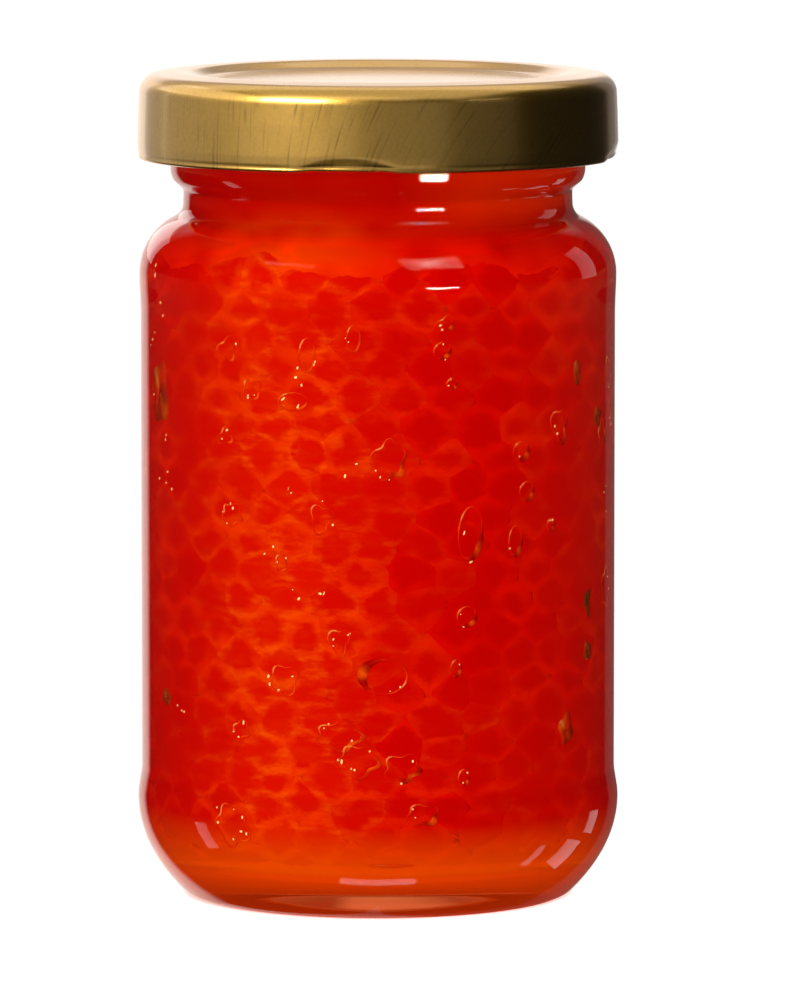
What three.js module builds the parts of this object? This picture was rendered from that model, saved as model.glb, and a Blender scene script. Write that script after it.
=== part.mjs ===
// A shut jar of salmon roe: a round clear glass jar, its twist-off metal lid and the packed eggs.
// Millimetres, +Z up. The origin is the middle of the ring that the jar stands on, and -Y is the front.

import * as THREE from 'three';
import { mergeVertices } from 'three/addons/utils/BufferGeometryUtils.js';

// Driving dimensions of the glass, outside.
const JAR_SIDES = 36;
const BODY_RADIUS = 30.1;
const HEEL_BEAD_RADIUS = 30.62;
const HEEL_BEAD_Z = 12.4;
const BODY_FROM_Z = 16.6;
const SHOULDER_BEAD_RADIUS = 30.25;
const SHOULDER_BEAD_RUN = 4;
const SHOULDER_Z = 79.0;
const SHOULDER_BEND = 8.0;
const SHOULDER_TURN = 64;
const NECK_RADIUS = 24.65;
const NECK_BEND = 1.9;
const NECK_TOP_Z = 89.7;
const COLLAR_RADIUS = 26.3;
const COLLAR_EDGE = 0.3;
const COLLAR_FROM_Z = 90.9;
const COLLAR_Z = 91.9;
const RIM_Z = 103.5;
const RIM_BEND = 1.2;

// The foot: a flat ring to stand on, round a shallow push-up.
const FOOT_INNER_RADIUS = 22.6;
const FOOT_OUTER_RADIUS = 24.2;
const HEEL_START_RADIUS = 24.9;
const HEEL_START_Z = 0.45;
const HEEL_PULL = 2.95;
const HEEL_LIFT = 5.0;
const PUSH_UP_RADIUS = 21.6;
const PUSH_UP_STEP = 0.8;
const PUSH_UP_Z = 1.5;

// The glass inside.
const CAVITY_RADIUS = 27.4;
const CAVITY_BEND = 5.4;
const CAVITY_TURN = 62;
const CAVITY_NECK_BEND = 3.6;
const FLOOR_Z = 5.0;
const FLOOR_CROWN = 0.5;
const FLOOR_RADIUS = 16.5;
const INNER_HEEL_Z = 15.5;
const INNER_HEEL_PULL = 7.0;
const INNER_HEEL_LIFT = 7.3;
const MOUTH_RADIUS = 23.3;

// The thread ridges, one over each lug of the lid.
const THREAD_HEIGHT = 1.65;
const THREAD_Z = 97.4;
const THREAD_RISE = 0.9;
const THREAD_HALF_WIDTH = 0.55;
const THREAD_FOOT = 0.9;
const THREAD_SPREAD = 34;
const THREAD_FADE = 9;

// Driving dimensions of the lid.
const LID_SIDES = 44;
const LID_TOP_Z = 104.65;
const LID_HEM_Z = 93.6;
const LID_RADIUS = 30.45;
const LID_TAPER = 0.2;
const LID_SHOULDER_BEND = 1.95;
const LID_SHOULDER_DROP = 0.25;
const LID_SHOULDER_TURN = 84;
const LID_SKIRT_FROM = 2.4;
const LID_CREST_RADIUS = 25.7;
const LID_CREST_HALF = 1.5;
const LID_CREST_DROP = 0.12;
const LID_PANEL_RADIUS = 19.6;
const LID_PANEL_DROP = 0.95;
const LID_SLOPE_RADIUS = 22.2;
const LID_SLOPE_RISE = 0.35;
const LID_WALL = 0.8;

// The hem is curled in, under a groove.
const HEM_BEND = 0.85;
const HEM_INSET = 0.12;
const HEM_GROOVE = 0.25;
const HEM_GROOVE_Z = 0.35;
const HEM_TOP_Z = 0.75;
const HEM_INSIDE_Z = 1.3;

// The lugs: the hem is pressed in under an arch at each of them.
const LUG_COUNT = 4;
const LUG_AZIMUTH = -7.2;
const LUG_HALF_ANGLE = 14.5;
const LUG_PRESS = 0.85;
const LUG_TONGUE = 0.6;
const LUG_TOP_Z = 96.2;
const LUG_LIFT = 0.2;

// The eggs.
const EGG_WIDTH = 6.15;
const EGG_ROW = 4.7;
const EGG_RELIEF = 1.45;
const EGG_CROWN = 0.56;
const EGG_CROWN_DROP = 0.12;
const EGG_JITTER = 0.13;
const EGG_SINK = 0.4;
const ROE_GAP = 0.35;
const ROE_TOP_Z = 100.2;
const ROE_TOP_BEND = 2.4;
const PLAIN_BELOW_Z = 6.4;
const PLAIN_ABOVE_Z = 93.0;
const SEED = 58;

// The finishes.
const CLEAR_GLASS = { color: 0xe9f0ee, roughness: 0.03, metalness: 0, opacity: 0.35, transparent: true };
const GOLD_LACQUER = { color: 0xb8924e, roughness: 0.34, metalness: 1 };
const ORANGE_RED_ROE = { color: 0xd92305, roughness: 0.25, metalness: 0 };

// Two lengths closer than this are the same one.
const NEAR = 0.01;

const radians = THREE.MathUtils.degToRad;

// A place in the profile plane: distance from the axis, and height.
function at(radius, z) {
  return new THREE.Vector2(radius, z);
}

// Points on a round bend, from one angle to another, in degrees from the +radius direction.
function bend(centre, size, from, to, steps) {
  const curve = new THREE.EllipseCurve(
    centre.x, centre.y, size, size, radians(from), radians(to), to < from);
  return curve.getPoints(steps);
}

// Points on a smooth curve between two places, drawn out by its two handles.
function sweep(start, pull, push, end, steps) {
  return new THREE.CubicBezierCurve(start, pull, push, end).getPoints(steps);
}

// The point at an angle on a bend.
function onBend(centre, size, angle) {
  return at(centre.x + size * Math.cos(radians(angle)), centre.y + size * Math.sin(radians(angle)));
}

// Joins vertices that lie in one place, and drops the faces that have no area left.
function weld(geometry) {
  geometry.deleteAttribute('normal');
  geometry.deleteAttribute('uv');
  const merged = mergeVertices(geometry, 1e-4);
  const corners = merged.index.array;
  const kept = [];
  for (let i = 0; i < corners.length; i += 3) {
    const [a, b, c] = [corners[i], corners[i + 1], corners[i + 2]];
    if (a !== b && b !== c && c !== a) {
      kept.push(a, b, c);
    }
  }
  merged.setIndex(kept);
  return merged;
}

// A body turned about +Z from a profile that runs anticlockwise round its section.
// The first column of faces starts at the azimuth given, in degrees from the front.
function turned(profile, sides, azimuth) {
  const geometry = weld(new THREE.LatheGeometry(profile, sides));
  geometry.rotateX(Math.PI / 2);
  geometry.rotateZ(radians(azimuth));
  return geometry;
}

// Moves every vertex of a turned body by a rule on its azimuth, radius and height.
function reshape(geometry, rule) {
  const position = geometry.attributes.position;
  for (let i = 0; i < position.count; i += 1) {
    const x = position.getX(i);
    const y = position.getY(i);
    const azimuth = THREE.MathUtils.radToDeg(Math.atan2(x, -y));
    const from = { azimuth, radius: Math.hypot(x, y), z: position.getZ(i) };
    const to = rule(from);
    const share = from.radius > 0 ? to.radius / from.radius : 1;
    position.setXYZ(i, x * share, y * share, to.z);
  }
  geometry.computeVertexNormals();
  return geometry;
}

// How far an azimuth is from the nearest lug, in degrees, with its sign.
function fromLug(azimuth) {
  const spacing = 360 / LUG_COUNT;
  const turn = azimuth - LUG_AZIMUTH;
  return turn - spacing * Math.round(turn / spacing);
}

// 1 inside a half width, falling smoothly to 0 over the fade outside it.
function plateau(value, half, fade) {
  return 1 - THREE.MathUtils.smoothstep(Math.abs(value), half, half + fade);
}

// The inside of the glass from the middle of the floor up to the neck, moved in by a gap.
function cavity(gap, heelSteps, bendSteps) {
  const wall = CAVITY_RADIUS - gap;
  const centre = at(wall - CAVITY_BEND + gap, SHOULDER_Z);
  const size = CAVITY_BEND - gap;
  const turn = onBend(centre, size, CAVITY_TURN);
  const neckSize = CAVITY_NECK_BEND + gap;
  const neckCentre = at(
    turn.x + neckSize * Math.cos(radians(CAVITY_TURN)),
    turn.y + neckSize * Math.sin(radians(CAVITY_TURN)));
  return [
    at(0, FLOOR_Z + FLOOR_CROWN + gap),
    ...sweep(
      at(FLOOR_RADIUS, FLOOR_Z + gap), at(FLOOR_RADIUS + INNER_HEEL_PULL, FLOOR_Z + gap),
      at(wall, INNER_HEEL_Z - INNER_HEEL_LIFT + gap), at(wall, INNER_HEEL_Z), heelSteps),
    ...bend(centre, size, 0, CAVITY_TURN, bendSteps),
    ...bend(neckCentre, neckSize, 180 + CAVITY_TURN, 180, bendSteps).slice(1),
  ];
}

// The outside of the glass from the middle of the push-up up to the rim.
function glassOutside() {
  const shoulder = at(SHOULDER_BEAD_RADIUS - SHOULDER_BEND, SHOULDER_Z);
  const turn = onBend(shoulder, SHOULDER_BEND, SHOULDER_TURN);
  const neckZ = turn.y + NECK_BEND * Math.sin(radians(SHOULDER_TURN));
  return [
    at(0, PUSH_UP_Z),
    at(PUSH_UP_RADIUS, PUSH_UP_STEP),
    at(FOOT_INNER_RADIUS, 0),
    at(FOOT_OUTER_RADIUS, 0),
    ...sweep(
      at(HEEL_START_RADIUS, HEEL_START_Z),
      at(HEEL_START_RADIUS + HEEL_PULL, HEEL_START_Z + HEEL_PULL),
      at(HEEL_BEAD_RADIUS, HEEL_BEAD_Z - HEEL_LIFT),
      at(HEEL_BEAD_RADIUS, HEEL_BEAD_Z), 5),
    at((HEEL_BEAD_RADIUS + BODY_RADIUS) / 2, (HEEL_BEAD_Z + BODY_FROM_Z) / 2),
    at(BODY_RADIUS, BODY_FROM_Z),
    at(BODY_RADIUS, SHOULDER_Z - SHOULDER_BEAD_RUN),
    ...bend(shoulder, SHOULDER_BEND, 0, SHOULDER_TURN, 5),
    at(NECK_RADIUS, neckZ),
    at(NECK_RADIUS, NECK_TOP_Z),
    at(COLLAR_RADIUS - COLLAR_EDGE, COLLAR_FROM_Z),
    at(COLLAR_RADIUS, COLLAR_Z),
    at(COLLAR_RADIUS, THREAD_Z - THREAD_HALF_WIDTH - THREAD_FOOT),
    at(COLLAR_RADIUS, THREAD_Z - THREAD_HALF_WIDTH),
    at(COLLAR_RADIUS, THREAD_Z + THREAD_HALF_WIDTH),
    at(COLLAR_RADIUS, THREAD_Z + THREAD_HALF_WIDTH + THREAD_FOOT),
    at(COLLAR_RADIUS, RIM_Z - RIM_BEND),
    at(COLLAR_RADIUS - RIM_BEND, RIM_Z),
  ];
}

// The clear glass jar, with a ridge of thread over each lug of the lid.
function jarGeometry() {
  const profile = [
    ...glassOutside(),
    at(MOUTH_RADIUS + RIM_BEND, RIM_Z),
    at(MOUTH_RADIUS, RIM_Z - RIM_BEND),
    ...cavity(0, 4, 3).reverse(),
  ];
  return reshape(turned(profile, JAR_SIDES, LUG_AZIMUTH), ({ azimuth, radius, z }) => {
    const isWall = Math.abs(radius - COLLAR_RADIUS) < NEAR;
    const above = Math.abs(z - THREAD_Z);
    if (!isWall || above > THREAD_HALF_WIDTH + THREAD_FOOT + NEAR) {
      return { radius, z };
    }
    const away = fromLug(azimuth);
    const isCrest = above < THREAD_HALF_WIDTH + NEAR;
    const height = isCrest ? THREAD_HEIGHT * plateau(away, THREAD_SPREAD, THREAD_FADE) : 0;
    return { radius: radius + height, z: z + (THREAD_RISE * away) / THREAD_SPREAD };
  });
}

// The pressed lid: a raised ring round a sunk panel, a straight skirt and a curled hem.
function lidGeometry() {
  const panelZ = LID_TOP_Z - LID_PANEL_DROP;
  const slopeZ = panelZ + LID_SLOPE_RISE;
  const shoulder = at(
    LID_RADIUS - LID_TAPER - LID_SHOULDER_BEND, LID_TOP_Z - LID_SHOULDER_DROP - LID_SHOULDER_BEND);
  const hem = at(LID_RADIUS - HEM_INSET - HEM_BEND, LID_HEM_Z + HEM_BEND);
  const hemEdge = hem.x + HEM_BEND;
  const skirtInside = LID_RADIUS - LID_TAPER - LID_WALL;
  const profile = [
    at(0, panelZ - LID_WALL),
    at(LID_PANEL_RADIUS, panelZ - LID_WALL),
    at(LID_SLOPE_RADIUS, slopeZ - LID_WALL),
    at(LID_CREST_RADIUS, LID_TOP_Z - LID_WALL),
    at(shoulder.x, shoulder.y + LID_SHOULDER_BEND - LID_WALL),
    at(skirtInside, shoulder.y),
    at(skirtInside, hem.y + HEM_INSIDE_Z),
    ...bend(hem, HEM_BEND, 180, 345, 4),
    at(hemEdge - HEM_GROOVE, hem.y + HEM_GROOVE_Z),
    at(hemEdge, hem.y + HEM_TOP_Z),
    at(LID_RADIUS, LUG_TOP_Z),
    at(LID_RADIUS - LID_TAPER / 2, shoulder.y - LID_SKIRT_FROM),
    ...bend(shoulder, LID_SHOULDER_BEND, 0, LID_SHOULDER_TURN, 3),
    at(LID_CREST_RADIUS, LID_TOP_Z),
    at(LID_CREST_RADIUS - LID_CREST_HALF, LID_TOP_Z - LID_CREST_DROP),
    at(LID_SLOPE_RADIUS, slopeZ),
    at(LID_PANEL_RADIUS, panelZ),
    at(0, panelZ),
  ];
  return reshape(turned(profile, LID_SIDES, LUG_AZIMUTH), ({ azimuth, radius, z }) => {
    const reach = Math.max(0, 1 - Math.abs(fromLug(azimuth)) / LUG_HALF_ANGLE);
    const arch = Math.sin((reach * Math.PI) / 2);
    const depth = THREE.MathUtils.smoothstep(LUG_TOP_Z - z, 0, LUG_TOP_Z - hem.y);
    const tongue = radius < hem.x - HEM_BEND / 2 ? LUG_TONGUE : 0;
    const press = (LUG_PRESS + tongue) * arch * depth;
    return { radius: radius - press, z: z + LUG_LIFT * arch * depth };
  });
}

// Repeatable draws between -1 and 1.
function makeDraw(seed) {
  let state = seed;
  return () => {
    state = (Math.imul(state, 1664525) + 1013904223) >>> 0;
    return state / 2 ** 31 - 1;
  };
}

// The outline that the eggs fill, from the floor round to the middle of the top.
function roeOutline() {
  const inside = cavity(ROE_GAP, 12, 8);
  const neck = inside[inside.length - 1].x;
  const top = at(neck - ROE_TOP_BEND, ROE_TOP_Z - ROE_TOP_BEND);
  const points = [...inside, ...bend(top, ROE_TOP_BEND, 0, 90, 6), at(0, ROE_TOP_Z)];
  const path = new THREE.CurvePath();
  for (let i = 1; i < points.length; i += 1) {
    path.add(new THREE.LineCurve(points[i - 1], points[i]));
  }
  return path;
}

// The eggs' middles, in rings one above the other, each turned half an egg against the last.
function eggRings() {
  const path = roeOutline();
  const rows = Math.round(path.getLength() / EGG_ROW);
  const draw = makeDraw(SEED);
  const rings = [];
  for (let row = 0; row <= rows; row += 1) {
    const onAxis = row === 0 || row === rows;
    const middle = path.getPointAt(row / rows);
    const count = onAxis ? 1 : Math.max(5, Math.round((2 * Math.PI * middle.x) / EGG_WIDTH));
    const ring = [];
    for (let k = 0; k < count; k += 1) {
      const slide = onAxis ? 0 : EGG_JITTER * draw();
      const turn = (k + 0.5 * (row % 2) + EGG_JITTER * draw()) / count;
      const share = THREE.MathUtils.clamp((row + slide) / rows, 0, 1);
      const spot = path.getPointAt(share);
      const along = path.getTangentAt(share);
      const sink = EGG_SINK * Math.abs(draw());
      ring.push({
        angle: 2 * Math.PI * turn,
        radius: spot.x - sink * along.y,
        z: spot.y + sink * along.x,
        inward: at(-along.y, along.x),
      });
    }
    rings.push(ring);
  }
  return rings;
}

// Triangles between the eggs of two neighbouring rings, taken up side by side round the jar.
function zip(lower, upper, lowerStart, upperStart) {
  const faces = [];
  const turn = 2 * Math.PI;
  const angle = (ring, k) => ring[k % ring.length].angle + turn * Math.floor(k / ring.length);
  const lowerEnd = lower.length > 1 ? lower.length : 0;
  const upperEnd = upper.length > 1 ? upper.length : 0;
  let a = 0;
  let b = 0;
  while (a < lowerEnd || b < upperEnd) {
    const low = lowerStart + (a % lower.length);
    const high = upperStart + (b % upper.length);
    const nextLow = angle(lower, a) + angle(lower, a + 1);
    const nextHigh = angle(upper, b) + angle(upper, b + 1);
    if (b >= upperEnd || (a < lowerEnd && nextLow < nextHigh)) {
      faces.push([low, lowerStart + ((a + 1) % lower.length), high]);
      a += 1;
    } else {
      faces.push([low, upperStart + ((b + 1) % upper.length), high]);
      b += 1;
    }
  }
  return faces;
}

// The place of an egg's middle, and the way into the jar from it.
function placed({ angle, radius, z, inward }) {
  const out = new THREE.Vector3(Math.sin(angle), -Math.cos(angle), 0);
  return {
    spot: out.clone().multiplyScalar(radius).setZ(z),
    inward: out.clone().multiplyScalar(inward.x).setZ(inward.y),
  };
}

// The packed eggs as one body: a dome for each egg, with a valley where three eggs meet.
function roeGeometry() {
  const rings = eggRings();
  const eggs = rings.flat().map(placed);
  const starts = [];
  rings.reduce((sum, ring) => (starts.push(sum), sum + ring.length), 0);
  const cells = [];
  for (let row = 1; row < rings.length; row += 1) {
    cells.push(...zip(rings[row - 1], rings[row], starts[row - 1], starts[row]));
  }

  const points = eggs.map((egg) => egg.spot);
  const valleys = [];
  const crowns = new Map();
  const addPoint = (point) => points.push(point) - 1;
  const isPlain = (egg) => eggs[egg].spot.z < PLAIN_BELOW_Z || eggs[egg].spot.z > PLAIN_ABOVE_Z;
  cells.forEach((cell, index) => {
    const middle = new THREE.Vector3();
    const inward = new THREE.Vector3();
    for (const egg of cell) {
      middle.addScaledVector(eggs[egg].spot, 1 / 3);
      inward.add(eggs[egg].inward);
    }
    inward.normalize();
    valleys.push(addPoint(middle.clone().addScaledVector(inward, EGG_RELIEF)));
    for (const egg of cell.filter((one) => !isPlain(one))) {
      const crown = eggs[egg].spot.clone().lerp(middle, EGG_CROWN);
      crown.addScaledVector(eggs[egg].inward, EGG_CROWN_DROP);
      crowns.set(`${egg} ${index}`, addPoint(crown));
    }
  });

  const sides = new Map();
  cells.forEach((cell, index) => {
    cell.forEach((egg, k) => sides.set(`${egg} ${cell[(k + 1) % 3]}`, index));
  });
  const corners = [];
  const anchors = new Map();
  for (const [side, left] of sides) {
    const [egg, next] = side.split(' ').map(Number);
    const right = sides.get(`${next} ${egg}`);
    if (isPlain(egg)) {
      corners.push(egg, valleys[right], valleys[left]);
      continue;
    }
    const crownLeft = crowns.get(`${egg} ${left}`);
    const crownRight = crowns.get(`${egg} ${right}`);
    const anchor = anchors.get(egg) ?? crownLeft;
    anchors.set(egg, anchor);
    if (crownLeft !== anchor && crownRight !== anchor) {
      corners.push(anchor, crownRight, crownLeft);
    }
    corners.push(crownRight, valleys[right], crownLeft);
    corners.push(crownLeft, valleys[right], valleys[left]);
  }

  const geometry = new THREE.BufferGeometry().setFromPoints(points);
  geometry.setIndex(corners);
  geometry.computeVertexNormals();
  return geometry;
}

// One named piece with its own finish.
function piece(name, geometry, finish) {
  const mesh = new THREE.Mesh(geometry, new THREE.MeshStandardMaterial(finish));
  mesh.name = name;
  return mesh;
}

const jarOfRoe = new THREE.Group();
jarOfRoe.add(
  piece('jar_glass', jarGeometry(), CLEAR_GLASS),
  piece('lid', lidGeometry(), GOLD_LACQUER),
  piece('roe', roeGeometry(), ORANGE_RED_ROE),
);

export default jarOfRoe;
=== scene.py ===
"""A shut glass jar of salmon roe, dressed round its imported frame.

The jar, the lid, the eggs and the juice are surfaces worked out with numpy: profiles turned about the
jar's axis, and one small closed body for each egg. Lengths are in metres, written as millimetres times MM.
"""

import logging
import math
from collections.abc import Callable
from dataclasses import astuple, dataclass, field
from enum import Enum, IntEnum

import bpy
import numpy as np
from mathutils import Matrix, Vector


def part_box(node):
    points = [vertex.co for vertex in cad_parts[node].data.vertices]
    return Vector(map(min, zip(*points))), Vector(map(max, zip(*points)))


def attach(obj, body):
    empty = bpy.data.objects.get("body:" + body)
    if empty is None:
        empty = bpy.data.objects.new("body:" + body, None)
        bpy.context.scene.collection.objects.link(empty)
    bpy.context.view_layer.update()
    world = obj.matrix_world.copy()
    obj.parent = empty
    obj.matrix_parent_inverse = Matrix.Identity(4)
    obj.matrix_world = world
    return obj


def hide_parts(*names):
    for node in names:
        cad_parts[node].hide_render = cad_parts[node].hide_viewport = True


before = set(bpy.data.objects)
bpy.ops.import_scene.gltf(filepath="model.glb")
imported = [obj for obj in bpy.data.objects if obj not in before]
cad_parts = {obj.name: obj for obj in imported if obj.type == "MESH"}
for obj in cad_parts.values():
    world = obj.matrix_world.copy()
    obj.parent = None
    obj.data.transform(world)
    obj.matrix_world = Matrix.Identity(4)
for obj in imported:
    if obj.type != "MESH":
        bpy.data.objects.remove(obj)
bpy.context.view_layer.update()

MM = 0.001
SEED = 58
LUG_AZIMUTH = -7.2
log = logging.getLogger("jar_of_roe")

Place = tuple[float, float]
Span = tuple[float, float]
Range = tuple[float, float, float, float]
Tint = tuple[float, float, float, float]
Socket = bpy.types.NodeSocket
Feed = float | Socket
Moved = tuple[np.ndarray, np.ndarray]
Rule = Callable[[np.ndarray, np.ndarray, np.ndarray], Moved]

WHITE: Tint = (1.0, 1.0, 1.0, 1.0)
BLACK: Tint = (0.0, 0.0, 0.0, 1.0)


class Slot(Enum):
    """The record's material slots."""

    GLASS = "glass"
    LID = "gold_lacquer"
    ROE = "roe"
    JUICE = "brine"


class JarFinish(IntEnum):
    """The finishes of the jar's faces, in the order of its materials."""

    CLEAR = 0
    WETTED = 1
    FLOOR = 2
    FOOT = 3


# --- curves in the profile plane -------------------------------------------------------------------


def bend(centre: Place, size: float, start: float, end: float, steps: int) -> np.ndarray:
    """Gives an arc's points: centre plus size times (cos, sin) of evenly spaced angles, in degrees."""
    turn = np.radians(np.linspace(start, end, steps + 1))
    return np.stack([centre[0] + size * np.cos(turn), centre[1] + size * np.sin(turn)], axis=1)


def sweep(start: Place, pull: Place, push: Place, end: Place, steps: int) -> np.ndarray:
    """Gives points on a cubic Bezier curve, the sum of its four places by the Bernstein weights.

    Args:
        start: The first place, as radius and height.
        pull: The handle of the first place.
        push: The handle of the last place.
        end: The last place.
        steps: How many steps the curve is cut into.

    Returns:
        An array of steps + 1 points.
    """
    t = np.linspace(0.0, 1.0, steps + 1)[:, None]
    weights = ((1 - t) ** 3, 3 * t * (1 - t) ** 2, 3 * t**2 * (1 - t), t**3)
    return sum(w * np.asarray(p, float) for w, p in zip(weights, (start, pull, push, end)))


def dense(points: np.ndarray, pitch: float) -> np.ndarray:
    """Adds points along the long straight stretches of a profile, by linear steps no longer than pitch.

    Args:
        points: The profile's points.
        pitch: The longest step that is left.

    Returns:
        The profile with its extra points.
    """
    spans = [points[:1]]
    for a, b in zip(points[:-1], points[1:]):
        count = max(1, int(np.ceil(np.linalg.norm(b - a) / pitch)))
        spans.append(a + (b - a) * np.arange(1, count + 1)[:, None] / count)
    return np.concatenate(spans)


def smoothed(points: np.ndarray, rounds: int) -> np.ndarray:
    """Rounds the corners of a profile: each point moves to a quarter, a half and a quarter of its three.

    Args:
        points: The profile's points, whose ends stay.
        rounds: How many times it is done.

    Returns:
        The rounded profile.
    """
    out = points.copy()
    for _ in range(rounds):
        out[1:-1] = 0.25 * out[:-2] + 0.5 * out[1:-1] + 0.25 * out[2:]
    return out


def ramp(value: np.ndarray, low: float, high: float) -> np.ndarray:
    """Goes smoothly from 0 at low to 1 at high, as 3 t squared less 2 t cubed."""
    t = np.clip((value - low) / (high - low), 0.0, 1.0)
    return t * t * (3 - 2 * t)


def round_turn(count: int) -> np.ndarray:
    """Gives count angles spaced evenly round a whole turn, in radians from 0."""
    return 2 * np.pi * np.arange(count) / count


def polar(azimuths: np.ndarray, radii: np.ndarray, heights: np.ndarray) -> np.ndarray:
    """Gives points in space: the radius times (sin, -cos) of the azimuth, and the height."""
    return np.stack([radii * np.sin(azimuths), -radii * np.cos(azimuths), heights], axis=-1)


def azimuth_of(points: np.ndarray) -> np.ndarray:
    """Gives each point's azimuth in radians, from the front round to the right."""
    return np.arctan2(points[:, 0], -points[:, 1])


def points_at(line: np.ndarray, length: np.ndarray, along: np.ndarray) -> np.ndarray:
    """Gives the places at distances along a line, whose own points are at the distances in length."""
    return np.stack([np.interp(along, length, line[:, k]) for k in (0, 1)], axis=-1)


def from_lug(azimuths: np.ndarray) -> np.ndarray:
    """Gives the degrees from the nearest of the four lugs, which are a quarter turn apart."""
    away = np.degrees(azimuths) - LUG_AZIMUTH
    return away - 90 * np.round(away / 90)


# --- meshes ----------------------------------------------------------------------------------------


def make_piece(name: str, points: np.ndarray, faces: list[np.ndarray]) -> bpy.types.Object:
    """Puts points and smooth faces into a mesh whose object sits at the origin.

    Args:
        name: The piece's name.
        points: The vertices, one row each, in metres.
        faces: Arrays of corner numbers, each with one face a row.

    Returns:
        The new object.
    """
    mesh = bpy.data.meshes.new(name)
    mesh.vertices.add(len(points))
    mesh.vertices.foreach_set("co", np.ascontiguousarray(points, np.float32).ravel())
    corners = np.concatenate([f.ravel() for f in faces]).astype(np.int32)
    totals = np.concatenate([np.full(len(f), f.shape[1]) for f in faces])
    mesh.loops.add(len(corners))
    mesh.loops.foreach_set("vertex_index", corners)
    mesh.polygons.add(len(totals))
    mesh.polygons.foreach_set("loop_start", (np.cumsum(totals) - totals).astype(np.int32))
    mesh.update(calc_edges=True)
    mesh.validate()
    mesh.polygons.foreach_set("use_smooth", np.full(len(mesh.polygons), True))
    piece = bpy.data.objects.new(name, mesh)
    bpy.context.collection.objects.link(piece)
    return piece


def grid_faces(rows: int, columns: int, start: int = 0) -> np.ndarray:
    """Gives the four-cornered faces of rings of vertices: each joins a ring's neighbours to the next ring's.

    Args:
        rows: How many rings there are.
        columns: How many vertices a ring has. The last is next to the first.
        start: The number of the first vertex.

    Returns:
        An array with four corners a row, anticlockwise from outside for rings that run anticlockwise
        and rise.
    """
    row, column = np.meshgrid(np.arange(rows - 1), np.arange(columns), indexing="ij")
    beside = (column + 1) % columns
    square = np.stack(
        [row * columns + column, row * columns + beside, (row + 1) * columns + beside,
         (row + 1) * columns + column], axis=-1)
    return start + square.reshape(-1, 4)


def cap_faces(tip: int, ring: np.ndarray, is_top: bool) -> np.ndarray:
    """Gives the triangles that close a ring of vertices at a tip.

    Args:
        tip: The tip's vertex number.
        ring: The ring's vertex numbers, anticlockwise from above.
        is_top: Whether the tip is at the ring's upper side.

    Returns:
        An array with three corners a row.
    """
    beside = np.roll(ring, -1)
    tips = np.full(len(ring), tip)
    return np.stack([ring, beside, tips] if is_top else [beside, ring, tips], axis=1)


def copies(count: int, each: int, *groups: np.ndarray) -> list[np.ndarray]:
    """Repeats one body's faces for count bodies whose points follow on, each points to a body."""
    starts = (np.arange(count) * each)[:, None, None]
    return [(starts + faces).reshape(-1, faces.shape[1]) for faces in groups]


def outward(points: np.ndarray, faces: np.ndarray) -> np.ndarray:
    """Turns faces of a small closed body over where they point inwards.

    Their normals, from three corners each, are multiplied by the ways from the body's middle and summed.

    Args:
        points: The body's points.
        faces: Corner numbers, one face a row, which all point in or all point out.

    Returns:
        The faces, which point outwards.
    """
    corner = points[faces[:, :3]]
    normal = np.cross(corner[:, 1] - corner[:, 0], corner[:, 2] - corner[:, 0])
    is_in = (normal * (corner.mean(axis=1) - points.mean(axis=0))).sum() < 0
    return faces[:, ::-1] if is_in else faces


def revolve(name: str, profile: np.ndarray, sides: int, rule: Rule | None = None,
            turn: float = 0.0) -> bpy.types.Object:
    """Turns a profile about the jar's axis: each point becomes radius times (sin, -cos) of the azimuth.

    Args:
        name: The piece's name.
        profile: Points of radius and height, from one end on the axis to the other, with the body on
            the left of the way they run.
        sides: How many columns there are.
        rule: Optional: takes azimuth, radius and height arrays and gives the new radius and height.
        turn: The azimuth of the first column, in degrees from the front.

    Returns:
        The new object.
    """
    body = profile[1:-1]
    azimuths = np.broadcast_to(math.radians(turn) + round_turn(sides), (len(body), sides))
    radii = np.repeat(body[:, :1], sides, axis=1)
    heights = np.repeat(body[:, 1:], sides, axis=1)
    if rule is not None:
        radii, heights = rule(azimuths, radii, heights)
    tips = [[0.0, 0.0, profile[0, 1]], [0.0, 0.0, profile[-1, 1]]]
    points = np.concatenate([polar(azimuths, radii, heights).reshape(-1, 3), tips])
    count = len(body) * sides
    rings = np.arange(count).reshape(len(body), sides)
    faces = [grid_faces(len(body), sides), cap_faces(count, rings[0], False),
             cap_faces(count + 1, rings[-1], True)]
    return make_piece(name, points, faces)


def vertices_of(piece: bpy.types.Object) -> np.ndarray:
    """Gives a piece's vertices, one row each."""
    points = np.empty(len(piece.data.vertices) * 3, np.float32)
    piece.data.vertices.foreach_get("co", points)
    return points.reshape(-1, 3)


def wrap_map(piece: bpy.types.Object, scale: float) -> None:
    """Gives a turned piece a UV map: the azimuth times scale across, and the height in metres up.

    A face that crosses the back's seam takes its low azimuths a whole turn further on.

    Args:
        piece: The turned piece.
        scale: The radius that turns an azimuth into a length.
    """
    mesh = piece.data
    corners = np.empty(len(mesh.loops), np.int32)
    starts = np.empty(len(mesh.polygons), np.int32)
    totals = np.empty(len(mesh.polygons), np.int32)
    mesh.loops.foreach_get("vertex_index", corners)
    mesh.polygons.foreach_get("loop_start", starts)
    mesh.polygons.foreach_get("loop_total", totals)
    at = vertices_of(piece)[corners]
    azimuth = azimuth_of(at)
    face = np.repeat(np.arange(len(starts)), totals)
    highest = np.maximum.reduceat(azimuth, starts)[face]
    azimuth = np.where(highest - azimuth > np.pi, azimuth + 2 * np.pi, azimuth)
    layer = mesh.uv_layers.new(name="wrap")
    layer.data.foreach_set("uv", np.stack([azimuth * scale, at[:, 2]], axis=1).astype(np.float32).ravel())


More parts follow.
